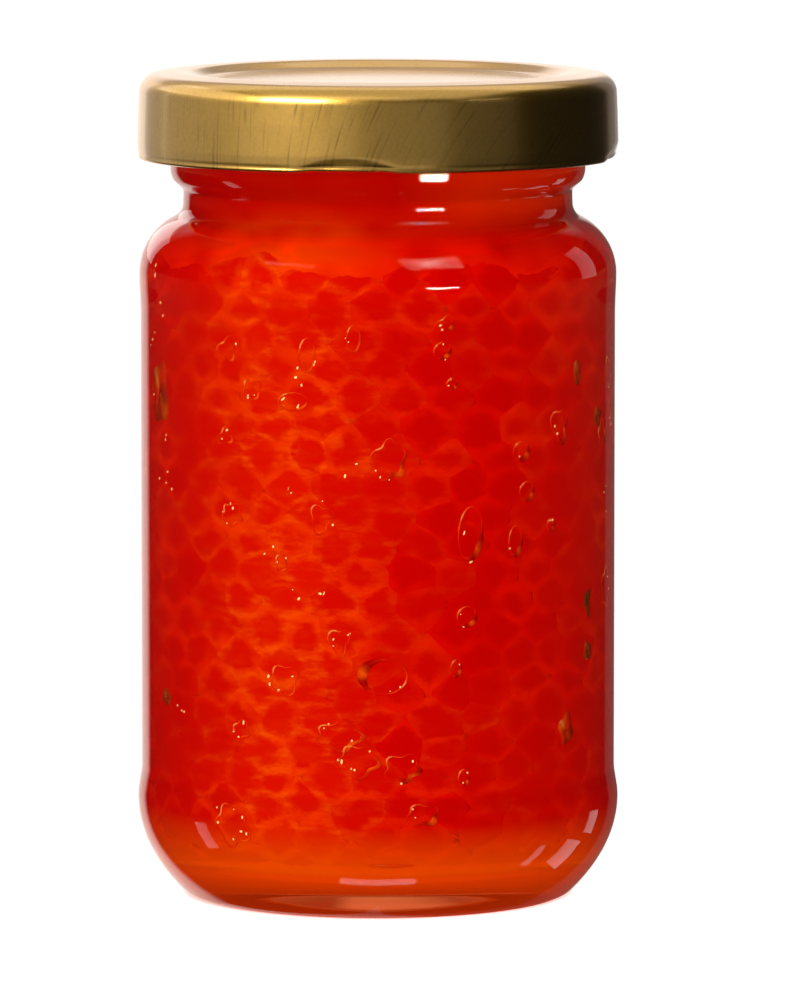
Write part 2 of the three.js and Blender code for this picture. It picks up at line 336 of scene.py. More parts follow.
def paint(piece: bpy.types.Object, name: str, values: np.ndarray) -> None:
    """Stores one number for each vertex of a piece, for its material to read."""
    layer = piece.data.attributes.new(name, "FLOAT", "POINT")
    layer.data.foreach_set("value", np.ascontiguousarray(values, np.float32))


# --- materials -------------------------------------------------------------------------------------


class Shader:
    """A tree of shader nodes, built from short calls."""

    def __init__(self, tree: bpy.types.NodeTree) -> None:
        """Takes the tree that the nodes go into.

        Args:
            tree: A material's or a world's tree.
        """
        self.tree = tree
        self.surface = tree.nodes.get("Principled BSDF")

    def node(self, kind: str, inputs: dict | None = None, **settings: str | bool) -> bpy.types.Node:
        """Adds a node.

        Args:
            kind: The node's type, without its ShaderNode prefix.
            inputs: Values or sockets for its inputs, by name or number.
            **settings: Its own properties.

        Returns:
            The node.
        """
        made = self.tree.nodes.new("ShaderNode" + kind)
        for key, value in settings.items():
            setattr(made, key, value)
        self.feed(made, inputs or {})
        return made

    def feed(self, node: bpy.types.Node, inputs: dict) -> None:
        """Sets or links inputs of a node.

        Args:
            node: The node.
            inputs: Values or sockets, by the input's name or number.
        """
        for key, value in inputs.items():
            if isinstance(value, Socket):
                self.tree.links.new(value, node.inputs[key])
            else:
                node.inputs[key].default_value = value

    def set(self, **inputs: Feed | Tint) -> None:
        """Feeds the Principled shader. Underscores in the names stand for spaces."""
        self.feed(self.surface, {key.replace("_", " "): value for key, value in inputs.items()})

    def attribute(self, name: str) -> Socket:
        """Gives a number that the mesh stores for each vertex."""
        return self.node("Attribute", None, attribute_name=name).outputs["Fac"]

    def coordinates(self, scale: tuple[float, float, float] = (1, 1, 1)) -> Socket:
        """Gives Object coordinates, each axis times its scale."""
        place = self.node("TexCoord")
        return self.node("Mapping", {"Vector": place.outputs["Object"], "Scale": scale}).outputs[0]

    def apart(self, vector: Socket) -> tuple[Socket, ...]:
        """Gives the three parts of a vector."""
        return tuple(self.node("SeparateXYZ", {0: vector}).outputs)

    def together(self, x: Feed, y: Feed, z: Feed = 0.0) -> Socket:
        """Joins three numbers into a vector."""
        return self.node("CombineXYZ", {0: x, 1: y, 2: z}).outputs[0]

    def length(self, vector: Socket) -> Socket:
        """Gives a vector's length."""
        return self.node("VectorMath", {0: vector}, operation="LENGTH").outputs["Value"]

    def colour(self, red: Feed, green: Feed, blue: Feed) -> Socket:
        """Joins three numbers into a colour."""
        return self.node("CombineColor", {0: red, 1: green, 2: blue}).outputs[0]

    def noise(self, vector: Socket, scale: float, detail: float = 2.0, roughness: float = 0.5) -> Socket:
        """Gives noise with scale features to a unit of the vector, and detail finer layers that are rough."""
        inputs = {"Vector": vector, "Scale": scale, "Detail": detail, "Roughness": roughness}
        return self.node("TexNoise", inputs).outputs[0]

    def spread(self, value: Feed, low: float, high: float, to_low: float = 0.0,
               to_high: float = 1.0) -> Socket:
        """Maps the values from low to high onto to_low to to_high, held at both ends."""
        inputs = {0: value, 1: low, 2: high, 3: to_low, 4: to_high}
        return self.node("MapRange", inputs, clamp=True).outputs[0]

    def maths(self, operation: str, a: Feed, b: Feed = 0.0) -> Socket:
        """Gives the result of a Math node's operation on two numbers."""
        return self.node("Math", {0: a, 1: b}, operation=operation).outputs[0]

    def product(self, first: Feed, *others: Feed) -> Feed:
        """Multiplies numbers, from the first one on."""
        for other in others:
            first = self.maths("MULTIPLY", first, other)
        return first

    def blend(self, share: Feed, low: Tint | Socket, high: Tint | Socket, kind: str = "MIX") -> Socket:
        """Mixes two colours.

        Args:
            share: How much of the second colour there is.
            low: The first colour or socket.
            high: The second colour or socket.
            kind: How they mix.

        Returns:
            The colour's socket.
        """
        made = self.node("Mix", None, data_type="RGBA", blend_type=kind, clamp_factor=True)
        self.feed(made, {0: share, 6: low, 7: high})
        return made.outputs[2]

    def bump(self, height: Socket, depth: float, strength: float = 1.0) -> Socket:
        """Turns a height pattern, depth metres from 0 to 1, into a bent normal of some strength."""
        return self.node("Bump", {"Height": height, "Distance": depth, "Strength": strength}).outputs[0]


def new_material(name: str) -> tuple[bpy.types.Material, Shader]:
    """Starts a material, and gives the shader that builds its tree with it."""
    material = bpy.data.materials.new(name)
    material.use_nodes = True
    return material, Shader(material.node_tree)


@dataclass(frozen=True)
class Clear:
    """What light goes straight through: its tint, how far it bends light and how much it mirrors."""

    name: str
    bend: float = 1.5
    tint: Tint = WHITE
    sheen: Tint = BLACK

    def ripples(self, shader: Shader) -> dict[str, Socket]:
        """Gives the surface's bent normal by its input's name, or nothing, as here, for a smooth one."""
        return {}

    def build(self) -> bpy.types.Material:
        """Makes the material."""
        material, shader = new_material(self.name)
        shader.set(Base_Color=self.tint, Roughness=0.0, IOR=self.bend, Transmission_Weight=1.0,
                   Specular_Tint=self.sheen, **self.ripples(shader))
        return material


@dataclass(frozen=True)
class WettedGlass(Clear):
    """The inside of the glass where the juice wets it, which mirrors next to nothing."""

    name: str = "wetted_glass"


@dataclass(frozen=True)
class OrangeJuice(Clear):
    """The clear orange juice between the eggs."""

    name: str = "orange_juice"
    bend: float = 1.36
    tint: Tint = (1.0, 0.62, 0.12, 1.0)


@dataclass(frozen=True)
class ClearGlass(Clear):
    """The jar's clear glass, with the faint waves of a blown wall."""

    name: str = "clear_glass"
    tint: Tint = (1.0, 0.985, 0.975, 1.0)
    sheen: Tint = (0.13, 0.125, 0.105, 1.0)
    wave_scale: float = 26.0
    wave_depth: float = 0.06 * MM

    def waves(self, shader: Shader) -> Socket:
        """Gives the waves, which are longer up the wall than round it."""
        return shader.noise(shader.coordinates((1, 1, 0.35)), self.wave_scale, 1.0)

    def ripples(self, shader: Shader) -> dict[str, Socket]:
        """Gives the bent normal that the waves make."""
        return {"Normal": shader.bump(self.waves(shader), self.wave_depth)}


@dataclass(frozen=True)
class FootGlass(ClearGlass):
    """The jar's underside: clear glass with the fine rings that the mould leaves round its middle."""

    name: str = "foot_glass"
    wave_scale: float = 520.0

    def waves(self, shader: Shader) -> Socket:
        """Gives the rings: noise by the distance from the axis, and a little by the place."""
        away = shader.length(shader.coordinates((1, 1, 0)))
        x, y, _ = shader.apart(shader.coordinates((0.12, 0.12, 0)))
        return shader.noise(shader.together(away, x, y), self.wave_scale)


@dataclass(frozen=True)
class RoeEndsPaintedLight:
    """The ends of the roe, painted light and shade: a painted orange glow down at the foot, where light comes
    up through the base, and painted deep red shade up in the neck under the lid, less on the right.
    """

    # Painted light: the first colour is the glow of light through the base, the other two are painted shade
    # under the lid.
    foot: Tint = (0.88, 0.115, 0.0004, 1.0)
    neck: Tint = (0.66, 0.0006, 0.0, 1.0)
    neck_right_less_shaded: Tint = (0.93, 0.035, 0.0004, 1.0)
    foot_glow_share: Range = (6 * MM, 12 * MM, 0.95, 0.0)
    neck_shade_share: Range = (84.5 * MM, 89 * MM, 0.0, 0.9)
    right_x: Span = (2 * MM, 12 * MM)

    def over(self, shader: Shader, colour: Socket) -> Socket:
        """Blends the painted glow and shade of the ends over the roe's own colour, by height and side.

        Args:
            shader: The material's shader.
            colour: The roe's colour.

        Returns:
            The colour's socket.
        """
        x, _, z = shader.apart(shader.coordinates())
        neck = shader.blend(shader.spread(x, *self.right_x), self.neck, self.neck_right_less_shaded)
        colour = shader.blend(shader.spread(z, *self.foot_glow_share), colour, self.foot)
        return shader.blend(shader.spread(z, *self.neck_shade_share), colour, neck)


@dataclass(frozen=True)
class EggSkin:
    """A salmon egg against the glass: a soft deep red oval where it touches, lighter orange round that.

    A Range is what a pattern is read between, and the two values that it becomes.
    """

    # The second and fourth colours are lit copies of the first and third: painted light for the sides of the
    # roe that light comes through.
    deep: Tint = (0.64, 0.0004, 0.0, 1.0)
    painted_lit_deep: Tint = (0.80, 0.012, 0.0, 1.0)
    edge: Tint = (0.79, 0.003, 0.0, 1.0)
    painted_lit_edge: Tint = (0.97, 0.090, 0.0004, 1.0)
    milky: Tint = (1.0, 0.17, 0.003, 1.0)
    smallest_oval: float = 0.40
    oval_spread: float = 0.36
    border: Span = (-0.08, 0.30)
    wobble: Range = (0.25, 0.75, -0.38, 0.38)
    wobble_scale: float = 380.0
    sides: Range = (0.1, 0.7, 0.5, 1.0)
    zones: Range = (0.38, 0.60, 0.1, 1.0)
    zone_scale: float = 110.0
    streaks: Span = (0.47, 0.72)
    streak_scale: float = 260.0
    milk_share: Range = (0.0, 1.0, 0.15, 0.8)

    def build(self) -> bpy.types.Material:
        """Makes the material."""
        material, shader = new_material("egg_skin")
        edge, rise, lot, painted_light = (shader.attribute(name) for name in ("edge", "rise", "lot", "painted_light"))
        warp = shader.noise(shader.coordinates((1, 1, 1.7)), self.wobble_scale, 3.0, 0.6)
        reach = shader.maths("ADD", edge, shader.spread(warp, *self.wobble))
        start = shader.spread(lot, 0.0, 1.0, self.smallest_oval, self.smallest_oval + self.oval_spread)
        outside = shader.spread(shader.maths("SUBTRACT", reach, start), *self.border)
        zones = shader.spread(shader.noise(shader.coordinates(), self.zone_scale), *self.zones)
        ring = shader.product(outside, shader.spread(rise, *self.sides), zones)
        streaks = shader.noise(shader.coordinates((1, 1, 3.2)), self.streak_scale, 3.0, 0.6)
        # The milky streaks are roe seen deeper in, shown only where the painted light is; where it is high,
        # the lit copies of the deep and edge colours take over.
        milk = shader.product(shader.spread(streaks, *self.streaks),
                              shader.product(painted_light, shader.spread(outside, *self.milk_share)))
        inner = shader.blend(painted_light, self.deep, self.painted_lit_deep)
        outer = shader.blend(painted_light, self.edge, self.painted_lit_edge)
        colour = shader.blend(milk, shader.blend(ring, inner, outer), self.milky)
        shader.set(Base_Color=RoeEndsPaintedLight().over(shader, colour), Roughness=0.4, IOR=1.38, Specular_IOR_Level=0.0)
        return material


@dataclass(frozen=True)
class RoeDepth:
    """What shows between the eggs: more roe behind, out of focus."""

    tint: Tint = (0.82, 0.006, 0.0, 1.0)
    deep: Tint = (0.68, 0.001, 0.0, 1.0)
    # The next two colours are lit copies of the two above: painted light for the sides of the roe that light
    # comes through.
    painted_lit_tint: Tint = (0.98, 0.10, 0.0006, 1.0)
    painted_lit_deep: Tint = (0.86, 0.030, 0.0, 1.0)
    cells: Span = (0.1, 0.6)
    cell_scale: float = 190.0
    cell_blur: float = 0.6

    def build(self) -> bpy.types.Material:
        """Makes the material."""
        material, shader = new_material("roe_depth")
        cells = shader.node("TexVoronoi", {
            "Vector": shader.coordinates((1, 1, 1.2)), "Scale": self.cell_scale,
            "Smoothness": self.cell_blur}, feature="SMOOTH_F1").outputs["Distance"]
        # The attribute read here is the painted light, which blends in the lit copies.
        painted_light, share = shader.attribute("painted_light"), shader.spread(cells, *self.cells)
        colour = shader.blend(painted_light, shader.blend(share, self.deep, self.tint),
                              shader.blend(share, self.painted_lit_deep, self.painted_lit_tint))
        shader.set(Base_Color=RoeEndsPaintedLight().over(shader, colour), Roughness=0.5, Specular_IOR_Level=0.0)
        return material


@dataclass(frozen=True)
class PocketSkin:
    """The outline of an air pocket at the glass, painted light and shade: a painted orange line with a near
    white painted highlight on its lit side, and painted shade on the other.
    """

    plain: Tint = (0.86, 0.012, 0.0, 1.0)
    # This colour is painted shade; the next is a painted dark reflection; the two after it are a painted line
    # of light and its near white painted highlight.
    dark: Tint = (0.42, 0.0003, 0.0, 1.0)
    painted_reflection: Tint = (0.17, 0.035, 0.007, 1.0)
    line: Tint = (1.0, 0.13, 0.006, 1.0)
    painted_flare: Tint = (1.0, 0.72, 0.45, 1.0)
    shade_share: Span = (0.1, 0.7)
    line_share: Span = (0.04, 0.55)
    line_gaps: Range = (0.35, 0.6, 0.35, 1.0)
    gap_scale: float = 700.0
    painted_flare_share: Range = (0.88, 1.0, 0.0, 0.4)

    def build(self) -> bpy.types.Material:
        """Makes the material."""
        material, shader = new_material("air_pocket")
        # The attributes read here are the painted light, the painted shade and the painted dark reflection.
        lit, shade, painted_reflection_share = (shader.attribute(name) for name in ("lit", "shade", "painted_reflection"))
        broken = shader.spread(shader.noise(shader.coordinates(), self.gap_scale), *self.line_gaps)
        line = shader.product(broken, shader.spread(lit, *self.line_share))
        colour = shader.blend(shader.spread(shade, *self.shade_share), self.plain, self.dark)
        colour = shader.blend(shader.spread(lit, *self.painted_flare_share),
                              shader.blend(line, colour, self.line), self.painted_flare)
        # Painted reflection: a dark brown that fills the pockets which mirror the dark room.
        colour = shader.blend(painted_reflection_share, colour, self.painted_reflection)
        shader.set(Base_Color=colour, Roughness=0.35, IOR=1.38, Specular_IOR_Level=0.05)
        return material


@dataclass(frozen=True)
class PaintedGlint:
    """A bead of air too small to see into, painted white with a little glow as its highlight: a painted
    glint.
    """

    tint: Tint = (1.0, 0.93, 0.82, 1.0)
    painted_glow: float = 0.35

    def build(self) -> bpy.types.Material:
        """Makes the material."""
        material, shader = new_material("painted_glint")
        # Painted highlight: a white base colour with a weak glow.
        shader.set(Base_Color=self.tint, Roughness=0.2, Emission_Color=self.tint, Emission_Strength=self.painted_glow)
        return material


@dataclass(frozen=True)
class GoldLacquer:
    """Satin gold lacquer on tinplate, with fine dark scratches that lean more to the right of the front."""

    tint: Tint = (0.80, 0.455, 0.082, 1.0)
    scratch: Tint = (0.24, 0.12, 0.02, 1.0)
    scratch_depth: float = 0.02 * MM
    middle_z: float = 99 * MM
    lean: Range = (-16 * MM, 18 * MM, 0.02, 0.9)
    lines: Span = (0.52, 0.68)
    line_scale: float = 2100.0
    line_stretch: float = 0.03
    breaks: Span = (0.40, 0.60)
    break_scale: float = 800.0
    break_stretch: float = 0.25
    most_scratched: float = -15 * MM
    scratched: Range = (11 * MM, 19 * MM, 0.62, 0.36)
    plain_above: Range = (3.0 * MM, 4.2 * MM, 1.0, 0.0)
    blotch_scale: float = 90.0
    grain_scale: float = 2600.0
    red: Range = (0.3, 0.7, 0.90, 1.0)
    green: Range = (0.3, 0.7, 0.89, 1.0)
    blue: Range = (0.3, 0.7, 0.80, 1.0)
    satin: Range = (0.3, 0.7, 0.26, 0.33)

    def marks(self, shader: Shader) -> Socket:
        """Gives the scratches: broken streaks of noise across and up the wrap map, which lean."""
        across, height, _ = shader.apart(shader.node("UVMap", None, uv_map="wrap").outputs[0])
        up = shader.maths("SUBTRACT", height, self.middle_z)
        along = shader.maths("SUBTRACT", across, shader.product(shader.spread(across, *self.lean), up))
        line_place = shader.together(along, shader.product(up, self.line_stretch))
        break_place = shader.together(along, shader.product(up, self.break_stretch))
        away = shader.maths("ABSOLUTE", shader.maths("SUBTRACT", across, self.most_scratched))
        amount = shader.product(shader.spread(away, *self.scratched), shader.spread(up, *self.plain_above))
        return shader.product(shader.spread(shader.noise(line_place, self.line_scale), *self.lines),
                              shader.spread(shader.noise(break_place, self.break_scale, 1.0), *self.breaks),
                              amount)

    def build(self) -> bpy.types.Material:
        """Makes the material."""
        material, shader = new_material("gold_lacquer")
        marks = self.marks(shader)
        blotch = shader.noise(shader.coordinates(), self.blotch_scale, 4.0)
        grain = shader.noise(shader.coordinates(), self.grain_scale)
        uneven = shader.colour(shader.spread(grain, *self.red), shader.spread(grain, *self.green),
                               shader.spread(blotch, *self.blue))
        colour = shader.blend(1.0, shader.blend(marks, self.tint, self.scratch), uneven, "MULTIPLY")
        shader.set(Base_Color=colour, Metallic=1.0, Roughness=shader.spread(blotch, *self.satin),
                   Coat_Weight=1.0, Coat_Roughness=0.12, Coat_IOR=1.5,
                   Normal=shader.bump(shader.maths("SUBTRACT", 1.0, marks), self.scratch_depth, 0.6))
        return material


# --- the pieces ------------------------------------------------------------------------------------


@dataclass
class Jar:
    """The clear glass jar: its outside and inside are one closed turned surface."""

    sides: int = 144
    pitch: float = 2.5 * MM
    foot_inner: float = 22.6 * MM
    foot_outer: float = 24.2 * MM
    heel: Place = (24.9 * MM, 0.45 * MM)
    heel_pull: float = 2.95 * MM
    heel_lift: float = 5.0 * MM
    bead_z: float = 12.4 * MM
    body: float = 30.1 * MM
    body_z: float = 16.6 * MM
    shoulder: float = 30.25 * MM
    shoulder_z: float = 79.0 * MM
    swell_height: float = 5.0 * MM
    shoulder_bend: float = 8.0 * MM
    shoulder_turn: float = 64.0
    neck: float = 24.65 * MM
    neck_bend: float = 1.9 * MM
    neck_top: float = 89.7 * MM
    collar: float = 26.3 * MM
    collar_z: float = 91.9 * MM
    collar_slope: Place = (0.3 * MM, 1.2 * MM)
    neck_run: float = 0.8 * MM
    collar_run: Span = (1.0 * MM, 1.2 * MM)
    rim_bend: float = 1.2 * MM
    push_up: Place = (21.6 * MM, 0.8 * MM)
    push_up_z: float = 1.5 * MM
    cavity: float = 27.4 * MM
    cavity_bend: float = 5.4 * MM
    cavity_turn: float = 62.0
    cavity_neck_bend: float = 3.6 * MM
    floor: Place = (16.5 * MM, 5.0 * MM)
    floor_crown: float = 0.5 * MM
    inner_heel_z: float = 15.5 * MM
    inner_heel_pull: float = 7.0 * MM
    inner_heel_lift: float = 7.3 * MM
    mouth: float = 23.3 * MM
    floor_bend: float = 1.36
    thread_z: float = 97.4 * MM
    thread_height: float = 1.65 * MM
    thread_half: float = 1.0 * MM
    thread_rise: float = 0.9 * MM
    thread_spread: float = 34.0
    thread_fade: float = 9.0
    bead: float = field(init=False)
    rim_z: float = field(init=False)

    def __post_init__(self) -> None:
        """Takes the widest radius and the rim's height from the frame."""
        low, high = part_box("jar_glass")
        self.bead = min(high[0], -low[0], high[1], -low[1])
        self.rim_z = high[2]

    def inside(self, gap: float = 0.0, top: float | None = None) -> np.ndarray:
        """Gives the inside of the glass from the middle of the floor up the neck.

        Args:
            gap: How far it is moved in from the glass. A gap below 0 goes into the glass.
            top: The height that it ends at, or None for the whole way to the bend of the rim.

        Returns:
            Points of radius and height.
        """
        wall = self.cavity - gap
        size = self.cavity_bend - gap
        centre = (self.cavity - self.cavity_bend, self.shoulder_z)
        turn = bend(centre, size, self.cavity_turn, self.cavity_turn, 1)[0]
        neck_size = self.cavity_neck_bend + gap
        angle = math.radians(self.cavity_turn)
        neck = (turn[0] + neck_size * math.cos(angle), turn[1] + neck_size * math.sin(angle))
        radius, z = self.floor
        heel = sweep((radius, z + gap), (radius + self.inner_heel_pull, z + gap),
                     (wall, self.inner_heel_z - self.inner_heel_lift + gap), (wall, self.inner_heel_z), 28)
        middle = np.linspace(0.0, radius, 9)[:-1]
        crown = z + gap + self.floor_crown * (1 - (middle / radius) ** 2)
        whole = np.concatenate([
            np.stack([middle, crown], axis=1), heel,
            bend(centre, size, 0, self.cavity_turn, 20),
            bend(neck, neck_size, 180 + self.cavity_turn, 180, 16)[1:],
            [(self.mouth - gap, self.rim_z - self.rim_bend)]])
        if top is None:
            return whole
        below = whole[whole[:, 1] < top]
        return np.concatenate([below, [(np.interp(top, whole[9:, 1], whole[9:, 0]), top)]])

    def outside(self) -> np.ndarray:
        """Gives the outside of the glass from the middle of the push-up up to the rim."""
        centre = (self.shoulder - self.shoulder_bend, self.shoulder_z)
        turn = bend(centre, self.shoulder_bend, self.shoulder_turn, self.shoulder_turn, 1)[0]
        angle = math.radians(self.shoulder_turn)
        neck = (turn[0] + self.neck_bend * math.cos(angle), turn[1] + self.neck_bend * math.sin(angle))
        radius, z = self.push_up
        middle = np.linspace(0.0, radius, 10)
        dome = self.push_up_z - (self.push_up_z - z) * (middle / radius) ** 2
        foot = smoothed(dense(np.array([
            (radius, z), (self.foot_inner, 0.0), (self.foot_outer, 0.0), self.heel]), 0.12 * MM), 4)
        heel = sweep(self.heel, (self.heel[0] + self.heel_pull, self.heel[1] + self.heel_pull),
                     (self.bead, self.bead_z - self.heel_lift), (self.bead, self.bead_z), 26)
        step = np.linspace(0.0, 1.0, 13)[1:, None]
        waist = np.concatenate([self.bead + (self.body - self.bead) * ramp(step, 0, 1),
                                self.bead_z + (self.body_z - self.bead_z) * step], axis=1)
        swell = np.linspace(0.0, 1.0, 9)[:, None]
        swell = np.concatenate([self.body + (self.shoulder - self.body) * ramp(swell, 0, 1),
                                self.shoulder_z - self.swell_height * (1 - swell)], axis=1)
        collar = smoothed(dense(np.array([
            (self.neck, self.neck_top - self.neck_run), (self.neck, self.neck_top),
            (self.collar - self.collar_slope[0], self.neck_top + self.collar_slope[1]),
            (self.collar, self.collar_z), (self.collar, self.collar_z + self.collar_run[0])]), 0.15 * MM), 8)
        finish = dense(np.array([(self.collar, self.collar_z + self.collar_run[1]),
                                 (self.collar, self.rim_z - self.rim_bend)]), 0.3 * MM)
        return np.concatenate([
            np.stack([middle, dome], axis=1), foot[1:-1], heel, waist, swell[:-1],
            bend(centre, self.shoulder_bend, 0, self.shoulder_turn, 22),
            bend(neck, self.neck_bend, 180 + self.shoulder_turn, 180, 10)[1:], collar, finish])

    def threads(self, azimuths: np.ndarray, radii: np.ndarray, heights: np.ndarray) -> Moved:
        """Raises a ridge of thread over each lug: a cosine hump that climbs with the azimuth.

        Args:
            azimuths: Each vertex's azimuth.
            radii: Its distance from the axis.
            heights: Its height.

        Returns:
            The new radii and the heights.
        """
        away = from_lug(azimuths)
        middle = self.thread_z + self.thread_rise * away / self.thread_spread
        across = np.clip(np.abs(heights - middle) / self.thread_half, 0, 1)
        hump = 0.5 + 0.5 * np.cos(np.pi * across**1.4)
        ends = 1 - ramp(np.abs(away), self.thread_spread, self.thread_spread + self.thread_fade)
        is_wall = radii > self.collar - 0.05 * MM
        is_high = heights > self.collar_z
        return radii + np.where(is_wall & is_high, self.thread_height * hump * ends, 0.0), heights

    def build(self) -> bpy.types.Object:
        """Makes the glass, with the wetted finishes on its inner wall and floor."""
        rim = self.rim_z - self.rim_bend
        over = bend((self.collar - self.rim_bend, rim), self.rim_bend, 0, 90, 8)
        into = bend((self.mouth + self.rim_bend, rim), self.rim_bend, 90, 180, 8)
        inside = dense(self.inside(), self.pitch)[::-1]
        profile = np.concatenate([dense(self.outside(), self.pitch), over[1:], into[:-1], inside])
        piece = revolve("glass_jar", profile, self.sides, self.threads, LUG_AZIMUTH)
        wetted_floor = WettedGlass("wetted_floor", self.floor_bend)
        for finish in (ClearGlass(), WettedGlass(), wetted_floor, FootGlass()):
            piece.data.materials.append(finish.build())
        foot_to = int(np.argmax(profile[:, 0] > self.foot_inner))
        wet_from = len(profile) - 1 - len(inside)
        floor_from = wet_from + int(np.argmax(inside[:, 1] < self.inner_heel_z))
        wet_to = len(profile) - 3
        finishes = np.full(len(piece.data.polygons), JarFinish.CLEAR, np.int32)
        finishes[wet_from * self.sides:floor_from * self.sides] = JarFinish.WETTED
        finishes[floor_from * self.sides:wet_to * self.sides] = JarFinish.FLOOR
        finishes[-self.sides:] = JarFinish.FLOOR
        finishes[:foot_to * self.sides] = JarFinish.FOOT
        piece.data.polygons.foreach_set("material_index", finishes)
        piece.visible_shadow = False
        return piece


@dataclass
class Lid:
    """The pressed lid: a raised ring round a sunk panel, a straight skirt and a curled hem with lugs."""

    sides: int = 240
    taper: float = 0.2 * MM
    shoulder_bend: float = 2.5 * MM
    shoulder_drop: float = 0.25 * MM
    shoulder_turn: float = 84.0
    crest: float = 25.5 * MM
    crest_half: float = 1.6 * MM
    crest_drop: float = 0.12 * MM
    panel: float = 20.9 * MM
    panel_drop: float = 1.12 * MM
    panel_edge: float = 3.0 * MM
    panel_middle: float = 8.0 * MM
    slope: float = 22.1 * MM
    slope_rise: float = 0.12 * MM
    wall: float = 0.8 * MM
    hem_bend: float = 0.42 * MM
    hem_inset: float = 0.03 * MM
    groove: float = 0.1 * MM
    groove_z: Span = (0.24 * MM, 0.52 * MM)
    skirt_z: Span = (1.6 * MM, 2.4 * MM)
    lug_half: float = 14.5
    lug_press: float = 0.33 * MM
    lug_tongue: float = 0.25 * MM
    lug_slope: float = 2.0 * MM
    lug_foot: float = 0.6 * MM
    lug_arch: float = 1.95 * MM
    lug_lift: float = 0.2 * MM
    radius: float = field(init=False)
    top: float = field(init=False)
    hem_z: float = field(init=False)

    def __post_init__(self) -> None:
        """Takes the lid's radius and heights from the frame."""
        low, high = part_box("lid")
        self.radius = min(high[0], -low[0], high[1], -low[1])
        self.top = high[2]
        self.hem_z = low[2]

    def profile(self) -> np.ndarray:
        """Gives the lid's section from the middle of its underside round the hem to the middle of its top."""
        panel_z = self.top - self.panel_drop
        slope_z = panel_z + self.slope_rise
        shoulder = (self.radius - self.taper - self.shoulder_bend,
                    self.top - self.shoulder_drop - self.shoulder_bend)
        hem = (self.radius - self.hem_inset - self.hem_bend, self.hem_z + self.hem_bend)
        edge = hem[0] + self.hem_bend
        skirt_in = self.radius - self.taper - self.wall
        under = smoothed(dense(np.array([
            (self.panel - self.panel_edge, panel_z - self.wall), (self.panel, panel_z - self.wall),
            (self.slope, slope_z - self.wall), (self.crest, self.top - self.wall),
            (shoulder[0], shoulder[1] + self.shoulder_bend - self.wall),
            (skirt_in, shoulder[1]), (skirt_in, hem[1] + 1.3 * MM),
            (hem[0] - self.hem_bend, hem[1] + 0.1 * MM)]), 0.4 * MM), 4)
        curl = bend(hem, self.hem_bend, 180, 350, 18)
        skirt = smoothed(dense(np.array([
            curl[-1], (edge - self.groove, hem[1] + self.groove_z[0]),
            (edge - 0.02 * MM, hem[1] + self.groove_z[1]), (self.radius, hem[1] + self.skirt_z[0]),
            (self.radius - self.taper / 2, shoulder[1] - self.skirt_z[1]),
            (self.radius - self.taper, shoulder[1])]), 0.15 * MM), 2)
        over = bend(shoulder, self.shoulder_bend, 0, self.shoulder_turn, 18)
        crown = smoothed(dense(np.array([
            over[-1], (self.crest, self.top),
            (self.crest - self.crest_half, self.top - self.crest_drop), (self.slope, slope_z),
            (self.panel, panel_z), (self.panel - self.panel_edge, panel_z)]), 0.2 * MM), 4)
        return np.concatenate([
            [(0.0, panel_z - self.wall), (self.panel_middle, panel_z - self.wall)], under,
            curl[1:-1], skirt, over[1:-1], crown, [(self.panel_middle, panel_z), (0.0, panel_z)]])

    def lugs(self, azimuths: np.ndarray, radii: np.ndarray, heights: np.ndarray) -> Moved:
        """Presses the hem in under an arch at each lug, as high as a power of the sine of the reach.

        Args:
            azimuths: Each vertex's azimuth.
            radii: Its distance from the axis.
            heights: Its height.

        Returns:
            The new radii and heights.
        """
        away = from_lug(azimuths)
        reach = np.clip(1 - np.abs(away) / self.lug_half, 0, 1)
        arch_top = self.hem_z + self.lug_foot + self.lug_arch * np.sin(0.5 * np.pi * reach) ** 0.8
        arch = ramp(reach, 0.0, 0.45)
        depth = ramp(arch_top - heights, 0.0, self.lug_slope) * arch
        hem = self.radius - self.hem_inset - self.hem_bend
        tongue = self.lug_tongue * (1 - ramp(radii, hem - self.hem_bend, hem))
        return radii - (self.lug_press + tongue) * depth, heights + self.lug_lift * depth

    def build(self) -> bpy.types.Object:
        """Makes the lid and dresses it in gold lacquer."""
        piece = revolve("gold_lid", self.profile(), self.sides, self.lugs, LUG_AZIMUTH)
        wrap_map(piece, self.radius)
        piece.data.materials.append(GoldLacquer().build())
        return piece


